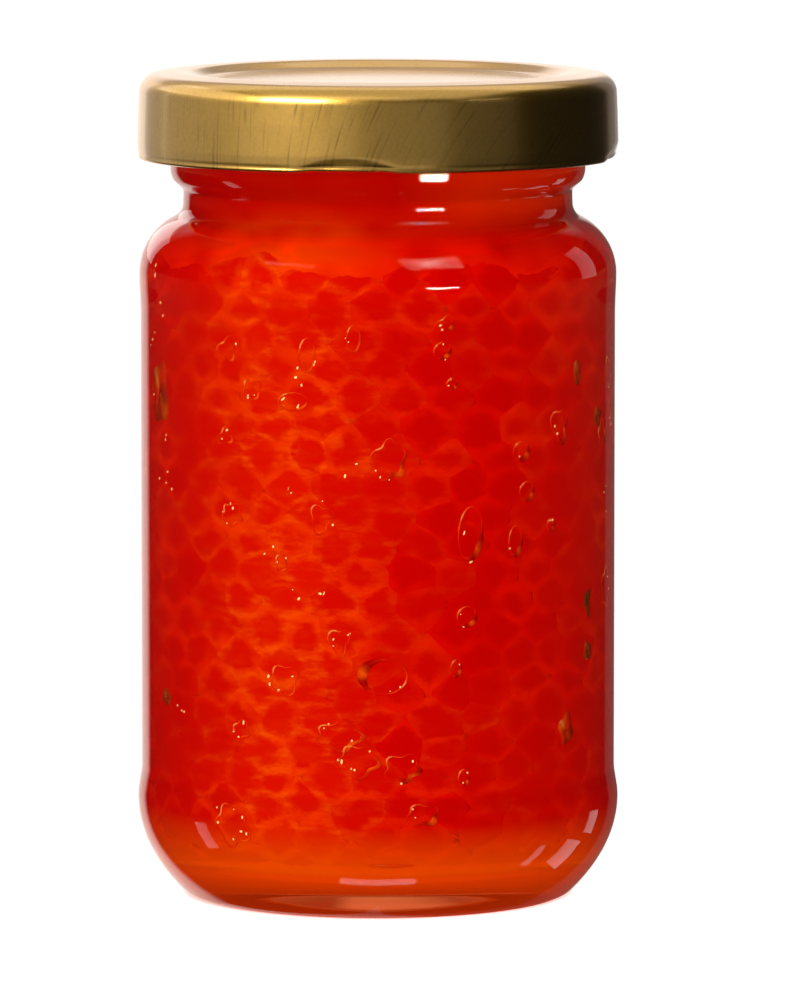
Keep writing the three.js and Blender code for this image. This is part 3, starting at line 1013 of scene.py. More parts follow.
@dataclass
class Roe:
    """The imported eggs: one squashed body for each egg at the glass, over a plain core."""

    jar: Jar
    width: float = 6.0 * MM
    row: float = 3.65 * MM
    fewest: int = 5
    slope_reach: float = 1.2 * MM
    jitter: float = 0.22
    uneven: float = 0.2 * MM
    gap: float = 0.09 * MM
    slack: float = 0.01 * MM
    depth: float = 4.2 * MM
    segments: int = 12
    reach: float = 11.0 * MM
    reach_power: float = 9.0
    overlap: float = 1.03
    least_facing: float = 0.05
    top_bend: float = 2.4 * MM
    core_depth: float = 0.2 * MM
    core_front: float = 0.04 * MM
    neck_push: float = 0.6 * MM
    into_wall: float = 0.08 * MM
    smooth_below: Span = (4.5 * MM, 9.0 * MM)
    smooth_above: Span = (82.0 * MM, 84.5 * MM)
    uneven_top: float = 0.9 * MM
    top_waves: tuple[int, int] = (7, 17)
    fine_wave: float = 0.35
    # The next five values set the painted light: the roe is painted lighter and more orange round two sides,
    # as if light came through it there.
    painted_light_azimuth: float = -25.0
    least_painted_light: float = 0.04
    painted_light_gain: float = 0.62
    painted_light_power: int = 7
    uneven_painted_light: float = 0.05
    rings: tuple[Place, ...] = ((0.45, 0.001), (0.80, 0.005), (1.0, 0.012), (1.26, 0.028), (0.95, 0.75))

    def outline(self, gap: float) -> np.ndarray:
        """Gives the outline that the eggs fill, from the floor round to the middle of the top.

        Args:
            gap: How far it is in from the glass.

        Returns:
            Points of radius and height.
        """
        top_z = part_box("roe")[1][2] - gap
        inside = self.jar.inside(gap, top_z - self.top_bend)
        corner = bend((inside[-1, 0] - self.top_bend, top_z - self.top_bend), self.top_bend, 0, 90, 12)
        return np.concatenate([inside, corner[1:], [(0.0, top_z)]])

    def middles(self) -> tuple[np.ndarray, ...]:
        """Places the eggs in rings along the outline, each turned half an egg against the last.

        Returns:
            The middles at the glass, and the directions round, along the wall and into the jar.
        """
        line = dense(self.outline(0.0), 0.3 * MM)
        steps = np.linalg.norm(np.diff(line, axis=0), axis=1)
        length = np.concatenate([[0.0], np.cumsum(steps)])
        draw = np.random.default_rng(SEED)
        rows = int(round(length[-1] / self.row))
        angles, shares = [], []
        for row in range(rows + 1):
            share = row / rows
            radius = np.interp(share * length[-1], length, line[:, 0])
            on_axis = row in (0, rows)
            count = 1 if on_axis else max(self.fewest, int(round(2 * np.pi * radius / self.width)))
            turn = np.arange(count) + 0.5 * (row % 2) + self.jitter * draw.uniform(-1, 1, count)
            slide = 0.0 if on_axis else self.jitter * draw.uniform(-1, 1, count)
            angles.append(2 * np.pi * turn / count)
            shares.append(np.full(count, share) + slide / rows)
        angle = np.concatenate(angles)
        along = np.clip(np.concatenate(shares), 0, 1) * length[-1]
        radius, z = points_at(line, length, along).T
        ahead, behind = along + self.slope_reach, along - self.slope_reach
        slope = points_at(line, length, ahead) - points_at(line, length, behind)
        slope /= np.linalg.norm(slope, axis=1, keepdims=True)
        out = np.stack([np.sin(angle), -np.cos(angle), 0 * angle], axis=1)
        up = np.array([0.0, 0.0, 1.0])
        middle = out * radius[:, None] + up * z[:, None]
        round_way = np.stack([np.cos(angle), np.sin(angle), 0 * angle], axis=1)
        along_way = out * slope[:, :1] + up * slope[:, 1:]
        into = -out * slope[:, 1:] + up * slope[:, :1]
        return middle, round_way, along_way, into

    def reaches(self, middle: np.ndarray, round_way: np.ndarray, along_way: np.ndarray) -> np.ndarray:
        """Works out how far each egg reaches in each direction before it meets its neighbours.

        Each neighbour's dividing plane is at a share of the way to it that follows the two eggs' sizes.
        The reach is the softened least of those distances: the sum of their inverses to a high power,
        back to the inverse power, which rounds the corners.

        Args:
            middle: The eggs' middles.
            round_way: Each egg's direction round the jar.
            along_way: Its direction along the wall.

        Returns:
            One row an egg and one column a direction.
        """
        draw = np.random.default_rng(SEED + 1)
        size = draw.normal(0.0, self.uneven, len(middle))
        apart = middle[None] - middle[:, None]
        far = np.linalg.norm(apart, axis=2)
        flat = np.stack([np.einsum("ijk,ik->ij", apart, round_way),
                         np.einsum("ijk,ik->ij", apart, along_way)], axis=-1)
        span = np.linalg.norm(flat, axis=2) + 1e-9
        plane = 0.5 * span + (size[:, None] - size[None])
        way = round_turn(self.segments)
        ways = np.stack([np.cos(way), np.sin(way)])
        facing = (flat / span[..., None]) @ ways
        near = (far > 1e-6) & (far < self.reach)
        push = np.where(near[..., None] & (facing > self.least_facing), facing / plane[..., None], 0.0)
        return (push**self.reach_power).sum(axis=1) ** (-1 / self.reach_power) * self.overlap

    def eggs(self) -> bpy.types.Object:
        """Makes the eggs: rings of points at shares of each egg's reach, ever deeper, and two tips."""
        middle, round_way, along_way, into = self.middles()
        reach = self.reaches(middle, round_way, along_way)
        draw = np.random.default_rng(SEED + 2)
        count = len(middle)
        sink = self.gap + np.abs(draw.normal(0.0, self.slack, count))
        way = round_turn(self.segments)
        shares, depths = np.array(self.rings).T
        side = reach[:, None, :] * shares[None, :, None]
        deep = sink[:, None, None] + (depths * self.depth)[None, :, None]
        spot = (middle[:, None, None]
                + (side * np.cos(way))[..., None] * round_way[:, None, None]
                + (side * np.sin(way))[..., None] * along_way[:, None, None]
                + deep[..., None] * into[:, None, None])
        tip_depths = np.stack([sink, sink + self.depth], axis=1)
        tips = middle[:, None] + tip_depths[..., None] * into[:, None]
        points = np.concatenate([spot.reshape(count, -1, 3), tips], axis=1).reshape(-1, 3)
        deep = np.concatenate([np.broadcast_to(deep, side.shape).reshape(count, -1), tip_depths], axis=1)
        points = self.inside_glass(points, deep.ravel() - self.gap)
        each = len(self.rings) * self.segments + 2
        rings = np.arange(each - 2).reshape(-1, self.segments)
        walls = outward(points[:each], grid_faces(len(self.rings), self.segments))
        caps = outward(points[:each], np.concatenate([
            cap_faces(each - 2, rings[0], True), cap_faces(each - 1, rings[-1], False)]))
        eggs = make_piece("roe_eggs", points, copies(count, each, walls, caps))
        spread = np.where(np.arange(len(shares)) < len(shares) - 1, shares, 1.0)
        edge = np.concatenate([np.repeat(spread, self.segments), [0.0, 1.0]])
        rise = np.concatenate([(spread[:, None] * np.abs(np.sin(way))).ravel(), [0.0, 1.0]])
        # Painted light: each egg is painted more orange on the sides that light comes through, with a little
        # random spread.
        painted_light = self.painted_light(azimuth_of(middle)) + draw.normal(0.0, self.uneven_painted_light, count)
        paint(eggs, "edge", np.tile(edge, count))
        paint(eggs, "rise", np.tile(rise, count))
        paint(eggs, "lot", np.repeat(draw.uniform(0, 1, count), each))
        paint(eggs, "painted_light", np.repeat(np.clip(painted_light, 0, 1), each))
        eggs.data.materials.append(EggSkin().build())
        return eggs

    def core(self) -> bpy.types.Object:
        """Makes the plain core behind the eggs, which comes out to the glass at the foot and in the neck."""
        core = revolve("roe_core", dense(self.outline(self.core_depth), 1.0 * MM), 96, self.swell)
        # The core gets the same painted light by azimuth.
        paint(core, "painted_light", self.painted_light(azimuth_of(vertices_of(core))))
        core.data.materials.append(RoeDepth().build())
        return core

    def build(self) -> list[bpy.types.Object]:
        """Makes the eggs and the core behind them."""
        return [self.eggs(), self.core()]

    def painted_light(self, azimuth: np.ndarray) -> np.ndarray:
        """Gives the painted light on the roe, which makes it lighter and more orange round two sides as if
        light came through it there: a raised cosine of twice the azimuth, to a power.
        """
        facing = 0.5 + 0.5 * np.cos(2 * (azimuth - math.radians(self.painted_light_azimuth)))
        return self.least_painted_light + self.painted_light_gain * facing**self.painted_light_power

    def swell(self, azimuths: np.ndarray, radii: np.ndarray, heights: np.ndarray) -> Moved:
        """Brings the core out by ramps: just into the wall at the foot, and over the eggs in the neck.

        The upper ramp starts lower here and there, by the sum of two cosines of the azimuth.

        Args:
            azimuths: Each vertex's azimuth.
            radii: Its distance from the axis.
            heights: Its height.

        Returns:
            The new radii and heights.
        """
        foot = 1 - ramp(heights, *self.smooth_below)
        coarse, fine = self.top_waves
        wave = self.uneven_top * (1 + self.fine_wave + np.cos(coarse * azimuths + 1)
                                  + self.fine_wave * np.cos(fine * azimuths))
        neck = ramp(heights + wave, *self.smooth_above) * (radii > 0.8 * self.jar.mouth)
        drop = foot * (self.core_depth + self.into_wall)
        return self.held(radii + drop + neck * self.neck_push, heights - drop, -self.into_wall,
                         neck * (self.into_wall + self.core_front))

    def held(self, radii: np.ndarray, heights: np.ndarray, gap: float,
             extra: np.ndarray | float = 0.0) -> Moved:
        """Brings places that would cross the glass back to it: by height at the floor, by radius at the wall.

        Args:
            radii: Each place's distance from the axis.
            heights: Its height.
            gap: How far from the glass they all stay.
            extra: How much further each of them stays.

        Returns:
            The new radii and heights.
        """
        line = self.jar.inside(gap)
        low = int(np.argmax(line[:, 0] >= self.jar.cavity - gap - 1e-7))
        wall = np.interp(heights, line[8:, 1], line[8:, 0]) - extra
        floor = np.interp(np.minimum(radii, wall), line[:low + 1, 0], line[:low + 1, 1])
        heights = np.maximum(heights, floor + extra)
        return np.minimum(radii, np.interp(heights, line[8:, 1], line[8:, 0]) - extra), heights

    def inside_glass(self, points: np.ndarray, extra: np.ndarray) -> np.ndarray:
        """Brings points that would cross the glass back inside it, so that the eggs' fronts follow it.

        Args:
            points: The points.
            extra: How far behind the gap at the glass each of them stays.

        Returns:
            The points, all inside the glass.
        """
        radius = np.hypot(points[:, 0], points[:, 1])
        held_radius, height = self.held(radius, points[:, 2], self.gap, extra)
        out = points.copy()
        out[:, 2] = height
        out[:, :2] *= (held_radius / np.maximum(radius, 1e-9))[:, None]
        return out


@dataclass
class Juice:
    """The orange juice that fills the jar round the eggs, out to just inside the glass wall."""

    jar: Jar
    into_wall: float = 0.12 * MM
    above_eggs: float = 0.5 * MM

    def build(self) -> bpy.types.Object:
        """Makes the juice as one turned body."""
        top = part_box("roe")[1][2] + self.above_eggs
        profile = np.concatenate([self.jar.inside(-self.into_wall, top), [(0.0, top)]])
        piece = revolve("juice", dense(profile, self.jar.pitch), self.jar.sides, None, LUG_AZIMUTH)
        piece.data.materials.append(OrangeJuice().build())
        piece.visible_shadow = False
        return piece


@dataclass(frozen=True)
class Pocket:
    """One air pocket: its azimuth in degrees, its height and size in millimetres, and how it looks: its
    corners, painted light, painted dark reflection, glints, and the side its painted light is on.
    """

    azimuth: float
    z: float
    width: float
    height: float
    corners: int = 0
    milk: float = 0.0
    # How much of a painted dark reflection fills the pocket, as on bubbles that mirror the dark room.
    painted_reflection: float = 0.0
    glints: int = 2
    turn: float = 135.0


@dataclass
class Air:
    """The air between the eggs and the glass: the outlines of flat pockets with painted light and shade, and
    specks painted white as glints.
    """

    jar: Jar
    depth: float = 0.02 * MM
    thickness: float = 0.12 * MM
    around: int = 44
    # The band widths and the values down to the waists set the painted light and shade round each outline.
    thin: float = 0.05 * MM
    thick: float = 0.24 * MM
    lit_share: float = 0.7
    shade_share: float = 0.45
    widest: float = 0.9
    milk_light: float = 0.30
    near_power: int = 4
    far_light: float = 0.5
    far_power: int = 12
    shade_from: float = 0.1
    shade_power: float = 0.7
    oval_waist: float = 0.95
    triangle_waist: float = 0.62
    other_waist: float = 0.74
    lopsided: float = 0.14
    glint_radius: float = 0.13 * MM
    glint_sizes: Span = (0.5, 1.25)
    glint_places: Span = (0.55, 0.95)
    glint_lean: Span = (55.0, 25.0)
    glint_stretch: float = 0.45
    clusters: int = 60
    cluster_size: Span = (0.055, 1.1 * MM)
    clear_from: float = 2.0
    clear_to: float = 75.0
    shown: tuple[Pocket, ...] = (
        Pocket(23, 38.1, 2.7, 2.7), Pocket(39, 58.7, 2.6, 2.6), Pocket(41, 53.6, 2.4, 2.6),
        Pocket(37, 47.1, 2.2, 4.0, 2), Pocket(49, 49.0, 1.5, 1.7), Pocket(16.5, 71.4, 2.3, 2.3),
        Pocket(19.2, 67.3, 1.4, 1.6), Pocket(24.5, 48.3, 3.4, 7.0, 2), Pocket(53, 61.4, 3.6, 5.4, 3),
        Pocket(-41, 71.1, 3.4, 3.6, 3, 0.7), Pocket(-17.8, 71.0, 2.2, 4.4, 2, 0.8),
        Pocket(-6.3, 73.2, 1.8, 3.6, 2, 0.6), Pocket(17.6, 74.9, 2.6, 2.2, 3, 0.2),
        Pocket(-33.7, 66.4, 3.0, 2.8, 4, 0.8), Pocket(-41.6, 60.4, 2.6, 2.6, 3, 0.7),
        Pocket(-21.6, 65.3, 3.8, 2.4, 2, 0.8, 0, 4), Pocket(-40, 50.5, 3.4, 3.2, 5, 0.9, 0, 5),
        Pocket(-14.2, 50.9, 3.4, 4.2, 3, 0.8), Pocket(3.5, 58.0, 4.6, 5.6, 5, 0.25, 0, 3),
        Pocket(-25.2, 45.0, 1.6, 3.0, 4, 0.9), Pocket(-9.4, 35.3, 3.0, 4.2, 3, 0.7, 0, 3),
        Pocket(-24.7, 30.3, 4.2, 4.2, 4, 1.0, 0, 4), Pocket(0.8, 30.8, 6.2, 4.6, 2, 0.0, 0, 3, -20),
        Pocket(-10.4, 23.6, 6.4, 4.2, 5, 0.5, 0, 4), Pocket(-4.6, 20.6, 5.6, 4.6, 6, 0.6, 0, 5),
        Pocket(6.6, 19.3, 5.0, 4.0, 6, 0.1, 0, 3), Pocket(-37, 23.6, 2.6, 2.6, 4, 0.9, 0, 4),
        Pocket(20.3, 32.0, 1.5, 2.4), Pocket(22.5, 18.0, 1.6, 2.2),
        Pocket(-40.5, 11.8, 5.6, 5.4, 5, 0.9, 0, 7),
        Pocket(12, 13.5, 4.6, 3.0, 4, 0.1, 0, 3), Pocket(65.5, 38.6, 1.8, 4.0, 3, 0.0, 1.0, 0),
        Pocket(65.6, 32.3, 2.2, 2.6, 4, 0.0, 0.8, 1), Pocket(71, 61.8, 2.4, 2.6, 4, 0.0, 0.7, 0),
        Pocket(60, 67.7, 1.6, 3.2, 2, 0.0, 0.6, 0), Pocket(-66, 26.2, 2.4, 2.2, 4, 0.3, 0.7, 1),
        Pocket(-70, 65.0, 5.0, 9.0, 4, 0.1, 0.35, 2), Pocket(55, 22.7, 3.0, 4.4, 4, 0.1, 0.35, 1),
        Pocket(-22.7, 54.0, 0.9, 1.3, 3, 1.0, 0, 1), Pocket(4.5, 7.6, 6.2, 0.3, 2, 1.0, 0, 0),
    )

    def wall(self, azimuths: np.ndarray, heights: np.ndarray, depths: np.ndarray) -> np.ndarray:
        """Lays places on the inside of the glass: the wall's radius there less the depth, at the azimuth.

        Args:
            azimuths: The azimuths in radians.
            heights: The heights.
            depths: How far in from the glass each place is.

        Returns:
            The points.
        """
        line = self.jar.inside()[9:]
        return polar(azimuths, np.interp(heights, line[:, 1], line[:, 0]) - depths, heights)

    def pockets(self) -> list[Pocket]:
        """Gives the pockets that the photograph shows, and seeded ones like them round the back."""
        draw = np.random.default_rng(SEED + 3)
        rest = []
        for azimuth in np.arange(78.0, 282.0, 9.0):
            for z in draw.uniform(14, 82, 3):
                width = draw.uniform(1.6, 4.6)
                rest.append(Pocket(azimuth + draw.uniform(-4, 4), z, width, width * draw.uniform(0.8, 1.5),
                                   int(draw.integers(2, 7)), draw.uniform(0, 0.9), 0.0,
                                   int(draw.integers(0, 4)), draw.uniform(90, 180)))
        return list(self.shown) + rest

    def lights(self, way: np.ndarray, phase: np.ndarray, milk: np.ndarray, turn: np.ndarray) -> Moved:
        """Gives the painted light and the painted shade at each place round an outline.

        Both are powers of the cosine of the angle from the lit side, cut at 0. Milky pockets have a
        little light all round and less shade.

        Args:
            way: The angles round the outline.
            phase: A random angle for each pocket.
            milk: How milky each pocket is.
            turn: Each pocket's lit side, in degrees.

        Returns:
            The painted light and the painted shade, one row a pocket.
        """
        toward = np.cos(way - np.radians(turn))
        lit = np.clip(self.milk_light * milk * (0.5 + 0.5 * np.cos(3 * way + phase))
                      + np.clip(toward, 0, 1) ** self.near_power
                      + self.far_light * np.clip(-toward, 0, 1) ** self.far_power, 0, 1)
        return lit, (1 - milk) * np.clip(-toward - self.shade_from, 0, 1) ** self.shade_power

    def outlines(self, pockets: list[Pocket], draw: np.random.Generator) -> bpy.types.Object:
        """Makes the pockets, each a thin closed band round its outline.

        The outline is an oval times a waist that swells, by a squared cosine, to 1 at each corner.
        The band is wider where it carries painted light or painted shade.

        Args:
            pockets: The pockets.
            draw: The random numbers.

        Returns:
            The pockets as one piece.
        """
        table = np.array([astuple(pocket) for pocket in pockets], float)
        azimuth, z, width, height, corners, milk, painted_reflection, _, turn = table.T[..., None]
        way = round_turn(self.around)
        phase = draw.uniform(0, 2 * np.pi, (len(pockets), 1))
        # Painted light and shade round each outline.
        lit, shade = self.lights(way, phase, milk, turn)
        waist = np.select([corners < 3, corners < 4], [self.oval_waist, self.triangle_waist],
                          self.other_waist)
        spike = np.abs(np.cos(0.5 * np.clip(corners, 2, 5) * way + phase)) ** 2
        size = (waist + (1 - waist) * spike) * (1 + self.lopsided * np.cos(way + 3 * phase))
        half = 0.5 * MM * np.stack([width * size * np.cos(way), height * size * np.sin(way)], axis=-1)
        radius = np.linalg.norm(half, axis=-1)
        # Pockets with a painted dark reflection are filled nearly to the middle.
        band = np.where(painted_reflection > 0, self.widest * radius, self.thin + self.thick * lit * self.lit_share
                        + self.widest * shade * radius * self.shade_share)
        shares = np.stack([1 - np.minimum(band / radius, self.widest), np.ones_like(band)], axis=1)
        places = half[:, None] * shares[..., None]
        azimuths = np.radians(azimuth)[:, None] + places[..., 0] / self.jar.cavity
        heights = (z * MM)[:, None] + places[..., 1]
        front, back = (self.wall(azimuths, heights, np.full_like(azimuths, depth))
                       for depth in (self.depth, self.depth + self.thickness))
        points = np.stack([front[:, 0], front[:, 1], back[:, 1], back[:, 0]], axis=1).reshape(-1, 3)
        each = 4 * self.around
        faces = outward(points[:each], grid_faces(5, self.around) % each)
        piece = make_piece("air_pockets", points, copies(len(pockets), each, faces))
        # Stores the painted light, the painted shade and the painted dark reflection on the pockets.
        for name, value in (("lit", lit), ("shade", shade), ("painted_reflection", painted_reflection + 0 * lit)):
            paint(piece, name, np.repeat(value[:, None], 4, axis=1).ravel())
        piece.data.materials.append(PocketSkin().build())
        return piece

    def glints(self, pockets: list[Pocket], draw: np.random.Generator) -> bpy.types.Object:
        """Makes the white specks, painted glints: some on each pocket's outline, and the rest in loose
        clusters.

        Args:
            pockets: The pockets.
            draw: The random numbers.

        Returns:
            The specks as one piece.
        """
        places = []
        for pocket in pockets:
            way = draw.uniform(0, 2 * np.pi, pocket.glints)
            far = draw.uniform(*self.glint_places, pocket.glints)
            across = 0.5 * pocket.width * MM * far * np.cos(way)
            up = 0.5 * pocket.height * MM * far * np.sin(way)
            places.append(np.stack([math.radians(pocket.azimuth) + across / self.jar.cavity,
                                    pocket.z * MM + up], axis=1))
        for _ in range(self.clusters):
            count = int(draw.integers(1, 5))
            middle = np.array([draw.uniform(-np.pi, np.pi), draw.uniform(14, 84) * MM])
            spots = middle + draw.normal(0, 1, (count, 2)) * self.cluster_size
            if not self.clear_from < math.degrees(middle[0]) < self.clear_to:
                places.append(spots)
        place = np.concatenate(places)
        count = len(place)
        radius = self.glint_radius * draw.uniform(*self.glint_sizes, count)
        rings, sides = 4, 6
        lat, lon = np.radians(np.linspace(-54, 54, rings))[:, None], round_turn(sides)
        ball = np.stack(np.broadcast_arrays(
            np.cos(lat) * np.cos(lon), np.cos(lat) * np.sin(lon), np.sin(lat)), axis=-1).reshape(-1, 3)
        ball = np.concatenate([ball, [[0, 0, -1], [0, 0, 1]]])
        middle = self.wall(place[:, 0], place[:, 1], radius + self.depth)
        lean = np.radians(draw.normal(*self.glint_lean, count))
        longer = draw.exponential(self.glint_stretch, count)
        way = np.stack([np.cos(place[:, 0]) * np.cos(lean), np.sin(place[:, 0]) * np.cos(lean),
                        np.sin(lean)], axis=1)
        offset = ball[None] * radius[:, None, None]
        offset += longer[:, None, None] * (offset @ way[:, :, None]) * way[:, None]
        points = (middle[:, None] + offset).reshape(-1, 3)
        tip = rings * sides
        number = np.arange(tip).reshape(rings, sides)
        caps = np.concatenate([cap_faces(tip, number[0], False), cap_faces(tip + 1, number[-1], True)])
        piece = make_piece("air_specks_painted_glints", points, copies(count, len(ball), grid_faces(rings, sides), caps))
        piece.data.materials.append(PaintedGlint().build())
        return piece

    def build(self) -> list[bpy.types.Object]:
        """Makes the pockets and the specks."""
        pockets = self.pockets()
        draw = np.random.default_rng(SEED + 4)
        return [self.outlines(pockets, draw), self.glints(pockets, draw)]


# --- the stage -------------------------------------------------------------------------------------


@dataclass(frozen=True)
class Patch:
    """A patch of the room that the glass and the gold mirror, by azimuth and height in degrees."""

    left: float
    right: float
    low: float
    high: float
    level: float
    soft: float = 8.0
    right_soft: float = 8.0


@dataclass(frozen=True)
class Softbox:
    """A rectangular light that faces the jar, by azimuth and elevation in degrees.

    Its sizes are in metres, and its level is in watts a square metre and steradian.
    """

    name: str
    azimuth: float
    elevation: float
    width: float
    height: float
    level: float
    only: tuple[str, ...]
    aim_z: float = 50 * MM
    away: float = 0.9


GLASS_ONLY = ("glass_jar",)
LID_ONLY = ("gold_lid",)
CONTENTS = ("roe_eggs", "roe_core", "air_pockets", "air_specks_painted_glints")


@dataclass
class Studio:
    """The floor, the room, the lights and the camera at the photograph's angle."""

    distance: float = 1100 * MM
    height: float = 171 * MM
    aim_z: float = 50.3 * MM
    aside: float = 2.48 * MM
    lens: float = 315.0
    sensor: float = 36.0
    far: float = 20.0
    floor_half: float = 4.0
    gloom: Tint = (0.012, 0.012, 0.012, 1.0)
    glass_gloom: Tint = (0.28, 0.045, 0.018, 1.0)
    patch_tint: Tint = (1.0, 0.88, 0.80, 1.0)
    glass_patch: Tint = (0.95, 0.24, 0.08, 1.0)
    # Painted light on the floor: the roe's orange glow under the foot, and its orange spill round the jar,
    # which the camera does not see.
    painted_foot_glow: Tint = (0.92, 0.13, 0.01, 1.0)
    painted_foot_glow_reach: Span = (23.5 * MM, 25.0 * MM)
    painted_spill: Tint = (0.92, 0.17, 0.05, 1.0)
    painted_spill_reach: Span = (60 * MM, 1600 * MM)
    floor_glow: Span = (0.68, 1.0)
    patches: tuple[Patch, ...] = (
        Patch(172, 210, -90, 22, 1.12, 3, 3),
        Patch(146, 176, -90, 22, 0.12, 2, 2),
        Patch(150, 212, 22, 50, 0.5, 6, 6),
    )
    softboxes: tuple[Softbox, ...] = (
        Softbox("lid_key", -43, 27, 0.50, 0.26, 15.0, LID_ONLY, 100 * MM),
        Softbox("lid_far_left", -136, 4, 0.50, 0.6, 0.36, LID_ONLY, 100 * MM),
        Softbox("lid_left", -98, 4, 0.90, 0.6, 0.40, LID_ONLY, 100 * MM),
        Softbox("lid_left_front", -55, 4, 0.50, 0.6, 0.52, LID_ONLY, 100 * MM),
        Softbox("lid_front", -25, 3, 0.50, 0.6, 0.40, LID_ONLY, 100 * MM),
        Softbox("lid_middle", 12, 3, 0.68, 0.6, 0.20, LID_ONLY, 100 * MM),
        Softbox("lid_right_front", 50, 3, 0.60, 0.6, 0.07, LID_ONLY, 100 * MM),
        Softbox("lid_upper_left", -105, 32, 1.2, 0.44, 1.1, LID_ONLY, 100 * MM),
        Softbox("lid_upper", -20, 46, 1.0, 0.30, 0.50, LID_ONLY, 100 * MM),
        Softbox("lid_right", 164, 4, 0.2, 0.6, 0.15, LID_ONLY, 100 * MM),
        Softbox("lid_top", 0, 80, 1.5, 1.3, 0.6, LID_ONLY, 100 * MM),
        Softbox("lid_top_behind", 180, 58, 1.4, 0.4, 0.8, LID_ONLY, 100 * MM),
        Softbox("lid_behind", 180, 8, 1.4, 0.5, 0.07, LID_ONLY, 100 * MM),
        Softbox("lid_under", -8, -26, 1.2, 0.30, 0.5, LID_ONLY, 100 * MM),
        Softbox("lid_streak", 55, 27, 0.26, 0.03, 3.0, LID_ONLY, 100 * MM),
        Softbox("left_shoulder", -155, 12, 0.40, 0.28, 1.0, GLASS_ONLY, 84 * MM),
        Softbox("right_shoulder", 122, 12.5, 0.24, 0.44, 0.9, GLASS_ONLY, 82 * MM),
        Softbox("shoulder_streak", -50, 38, 0.40, 0.08, 5.0, GLASS_ONLY, 87 * MM),
        Softbox("shoulder_core", 30, 44, 0.12, 0.10, 34.0, GLASS_ONLY, 82 * MM),
        Softbox("shoulder_middle", 31, 44, 0.24, 0.20, 12.0, GLASS_ONLY, 82 * MM),
        Softbox("shoulder_glow", 32, 44, 0.40, 0.34, 8.0, GLASS_ONLY, 82 * MM),
        Softbox("neck_glint", 28.5, -2, 0.038, 0.006, 260.0, GLASS_ONLY, 88 * MM, 0.15),
        Softbox("base_streak", 0, -66, 0.44, 0.10, 9.0, GLASS_ONLY, 5 * MM),
        Softbox("heel_window", 126, -14, 0.14, 0.16, 1.5, GLASS_ONLY, 11 * MM),
        Softbox("low_window", 117, -30, 0.20, 0.22, 2.0, GLASS_ONLY, 7 * MM),
        Softbox("front_window", 94, -35, 0.07, 0.22, 3.0, GLASS_ONLY, 8 * MM),
        Softbox("left_window", -94, -21, 0.12, 0.28, 3.0, GLASS_ONLY, 10 * MM),
        Softbox("left_wash", -62, 12, 0.8, 0.8, 1.45, CONTENTS),
        Softbox("front_wash", 4, 10, 0.8, 0.6, 2.4, CONTENTS),
        Softbox("right_wash", 58, 12, 0.8, 0.8, 0.25, CONTENTS),
        Softbox("shoulder_wash", -5, 50, 0.5, 0.5, 1.2, CONTENTS, 84 * MM),
        Softbox("foot_wash", 0, -72, 0.5, 0.5, 1.5, CONTENTS, 4 * MM),
    )

    def camera(self) -> None:
        """Sets the camera in front of the jar and a little above it."""
        data = bpy.data.cameras.new("camera")
        data.lens = self.lens
        data.sensor_width = self.sensor
        data.clip_end = self.far
        camera = bpy.data.objects.new("camera", data)
        camera.location = (self.aside, -self.distance, self.height)
        way = Vector((self.aside, 0.0, self.aim_z)) - camera.location
        camera.rotation_euler = way.to_track_quat("-Z", "Y").to_euler()
        bpy.context.collection.objects.link(camera)
        bpy.context.scene.camera = camera

    def floor(self) -> bpy.types.Object:
        """Makes the plain pale floor, a lit white sheet with the roe's light painted on it: an orange glow
        inside the foot, and an orange spill round the jar that the camera doesn't see.
        """
        half = self.floor_half
        points = np.array([(-half, -half, 0), (half, -half, 0), (half, half, 0), (-half, half, 0)], float)
        piece = make_piece("floor", points, [np.array([[0, 1, 2, 3]])])
        material, shader = new_material("floor_sheet")
        away = shader.length(shader.coordinates())
        path = shader.node("LightPath").outputs
        seen, lighting = path["Is Camera Ray"], path["Diffuse Depth"]
        # Painted light: orange spill round the jar for rays other than the camera's, and an orange glow
        # inside the foot.
        table = shader.blend(shader.spread(away, *self.painted_spill_reach), self.painted_spill, WHITE)
        around = shader.blend(seen, table, WHITE)
        colour = shader.blend(shader.spread(away, *self.painted_foot_glow_reach), self.painted_foot_glow, around)
        colour = shader.blend(lighting, colour, WHITE)
        shader.set(Base_Color=colour, Roughness=0.9, Specular_IOR_Level=0.0, Emission_Color=colour,
                   Emission_Strength=shader.spread(seen, 0.0, 1.0, *self.floor_glow))
        material.cycles.emission_sampling = "NONE"
        piece.data.materials.append(material)
        piece.visible_glossy = False
        piece.visible_shadow = False
        return piece

    def light(self, box: Softbox) -> None:
        """Adds a softbox, turned to the jar's axis at its height, for the pieces that it names alone."""
        data = bpy.data.lights.new(box.name, "AREA")
        data.shape = "RECTANGLE"
        data.size, data.size_y = box.width, box.height
        data.energy = box.level * math.pi * box.width * box.height
        light = bpy.data.objects.new(box.name, data)
        turn, rise = math.radians(box.azimuth), math.radians(box.elevation)
        way = Vector((math.sin(turn) * math.cos(rise), -math.cos(turn) * math.cos(rise), math.sin(rise)))
        light.location = Vector((0, 0, box.aim_z)) + way * box.away
        light.rotation_euler = way.to_track_quat("Z", "Y").to_euler()
        light.visible_camera = False
        light.visible_transmission = False
        data.cycles.use_multiple_importance_sampling = box.only is not CONTENTS
        bpy.context.collection.objects.link(light)
        lit = bpy.data.collections.new(box.name)
        for name in box.only:
            lit.objects.link(bpy.data.objects[name])
        light.light_linking.receiver_collection = lit

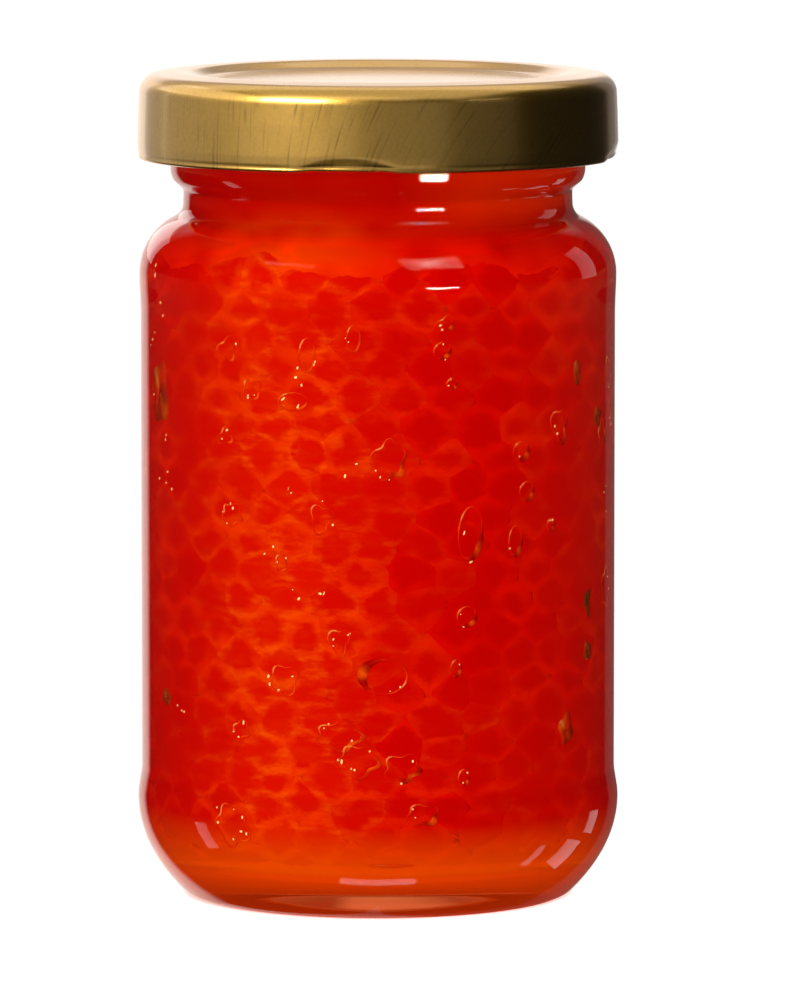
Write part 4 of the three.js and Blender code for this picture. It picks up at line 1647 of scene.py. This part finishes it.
    def room(self) -> None:
        """Makes the room: a dark one with bright patches, and plain white where the camera sees it."""
        world = bpy.data.worlds.new("room")
        bpy.context.scene.world = world
        world.use_nodes = True
        world.cycles.sampling_method = "NONE"
        world.node_tree.nodes.clear()
        shader = Shader(world.node_tree)
        x, y, z = shader.apart(shader.node("TexCoord").outputs["Generated"])
        front = shader.maths("ARCTAN2", x, shader.product(y, -1.0))
        behind = shader.maths("ADD", shader.maths("ARCTAN2", shader.product(x, -1.0), y), math.pi)
        rise = shader.maths("ARCSINE", z)
        path = shader.node("LightPath").outputs
        seen, through = path["Is Camera Ray"], path["Is Transmission Ray"]
        bright = 0.0
        for patch in self.patches:
            turn = behind if patch.right > 180 else front
            edges = ((turn, patch.left, patch.soft), (turn, patch.right, -patch.right_soft),
                     (rise, patch.low, patch.soft), (rise, patch.high, -patch.soft))
            level = patch.level
            for value, edge, soft in edges:
                if abs(edge) != 90:
                    level = shader.product(level, shader.spread(
                        value, math.radians(edge - soft), math.radians(edge + soft)))
            bright = shader.maths("MAXIMUM", bright, level)
        gloom = shader.blend(through, self.gloom, self.glass_gloom)
        tint = shader.blend(through, self.patch_tint, self.glass_patch)
        patches = shader.blend(1.0, shader.colour(bright, bright, bright), tint, "MULTIPLY")
        room = shader.node("Background", {"Color": shader.blend(1.0, gloom, patches, "LIGHTEN")})
        paper = shader.node("Background", {"Color": WHITE, "Strength": 1.0})
        both = shader.node("MixShader", {0: seen, 1: room.outputs[0], 2: paper.outputs[0]})
        shader.node("OutputWorld", {"Surface": both.outputs[0]}).is_active_output = True

    def build(self) -> None:
        """Sets up the camera, the floor, the room and the lights, once the pieces are there."""
        self.camera()
        self.floor()
        self.room()
        for box in self.softboxes:
            self.light(box)
        scene = bpy.context.scene
        scene.view_settings.view_transform = "Standard"
        scene.view_settings.look = "None"
        scene.cycles.max_bounces = 8
        scene.cycles.diffuse_bounces = 2
        scene.cycles.glossy_bounces = 3
        scene.cycles.blur_glossy = 0.0


def main() -> None:
    """Builds the pieces in order and hands each to the frame."""
    logging.basicConfig(level=logging.INFO, format="%(name)s: %(message)s")
    jar = Jar()
    eggs, core = Roe(jar).build()
    pockets, specks = Air(jar).build()
    rows = (
        (jar.build(), Slot.GLASS, "jar_glass"),
        (Lid().build(), Slot.LID, "lid"),
        (eggs, Slot.ROE, "roe"),
        (core, Slot.ROE, "roe"),
        (Juice(jar).build(), Slot.JUICE, None),
        (pockets, Slot.JUICE, None),
        (specks, Slot.JUICE, None),
    )
    for piece, slot, node in rows:
        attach(piece, "root")
        if node is not None:
            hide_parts(node)
        log.info("%s: %d faces", piece.name, len(piece.data.polygons))
    Studio().build()


if __name__ == "__main__":
    main()
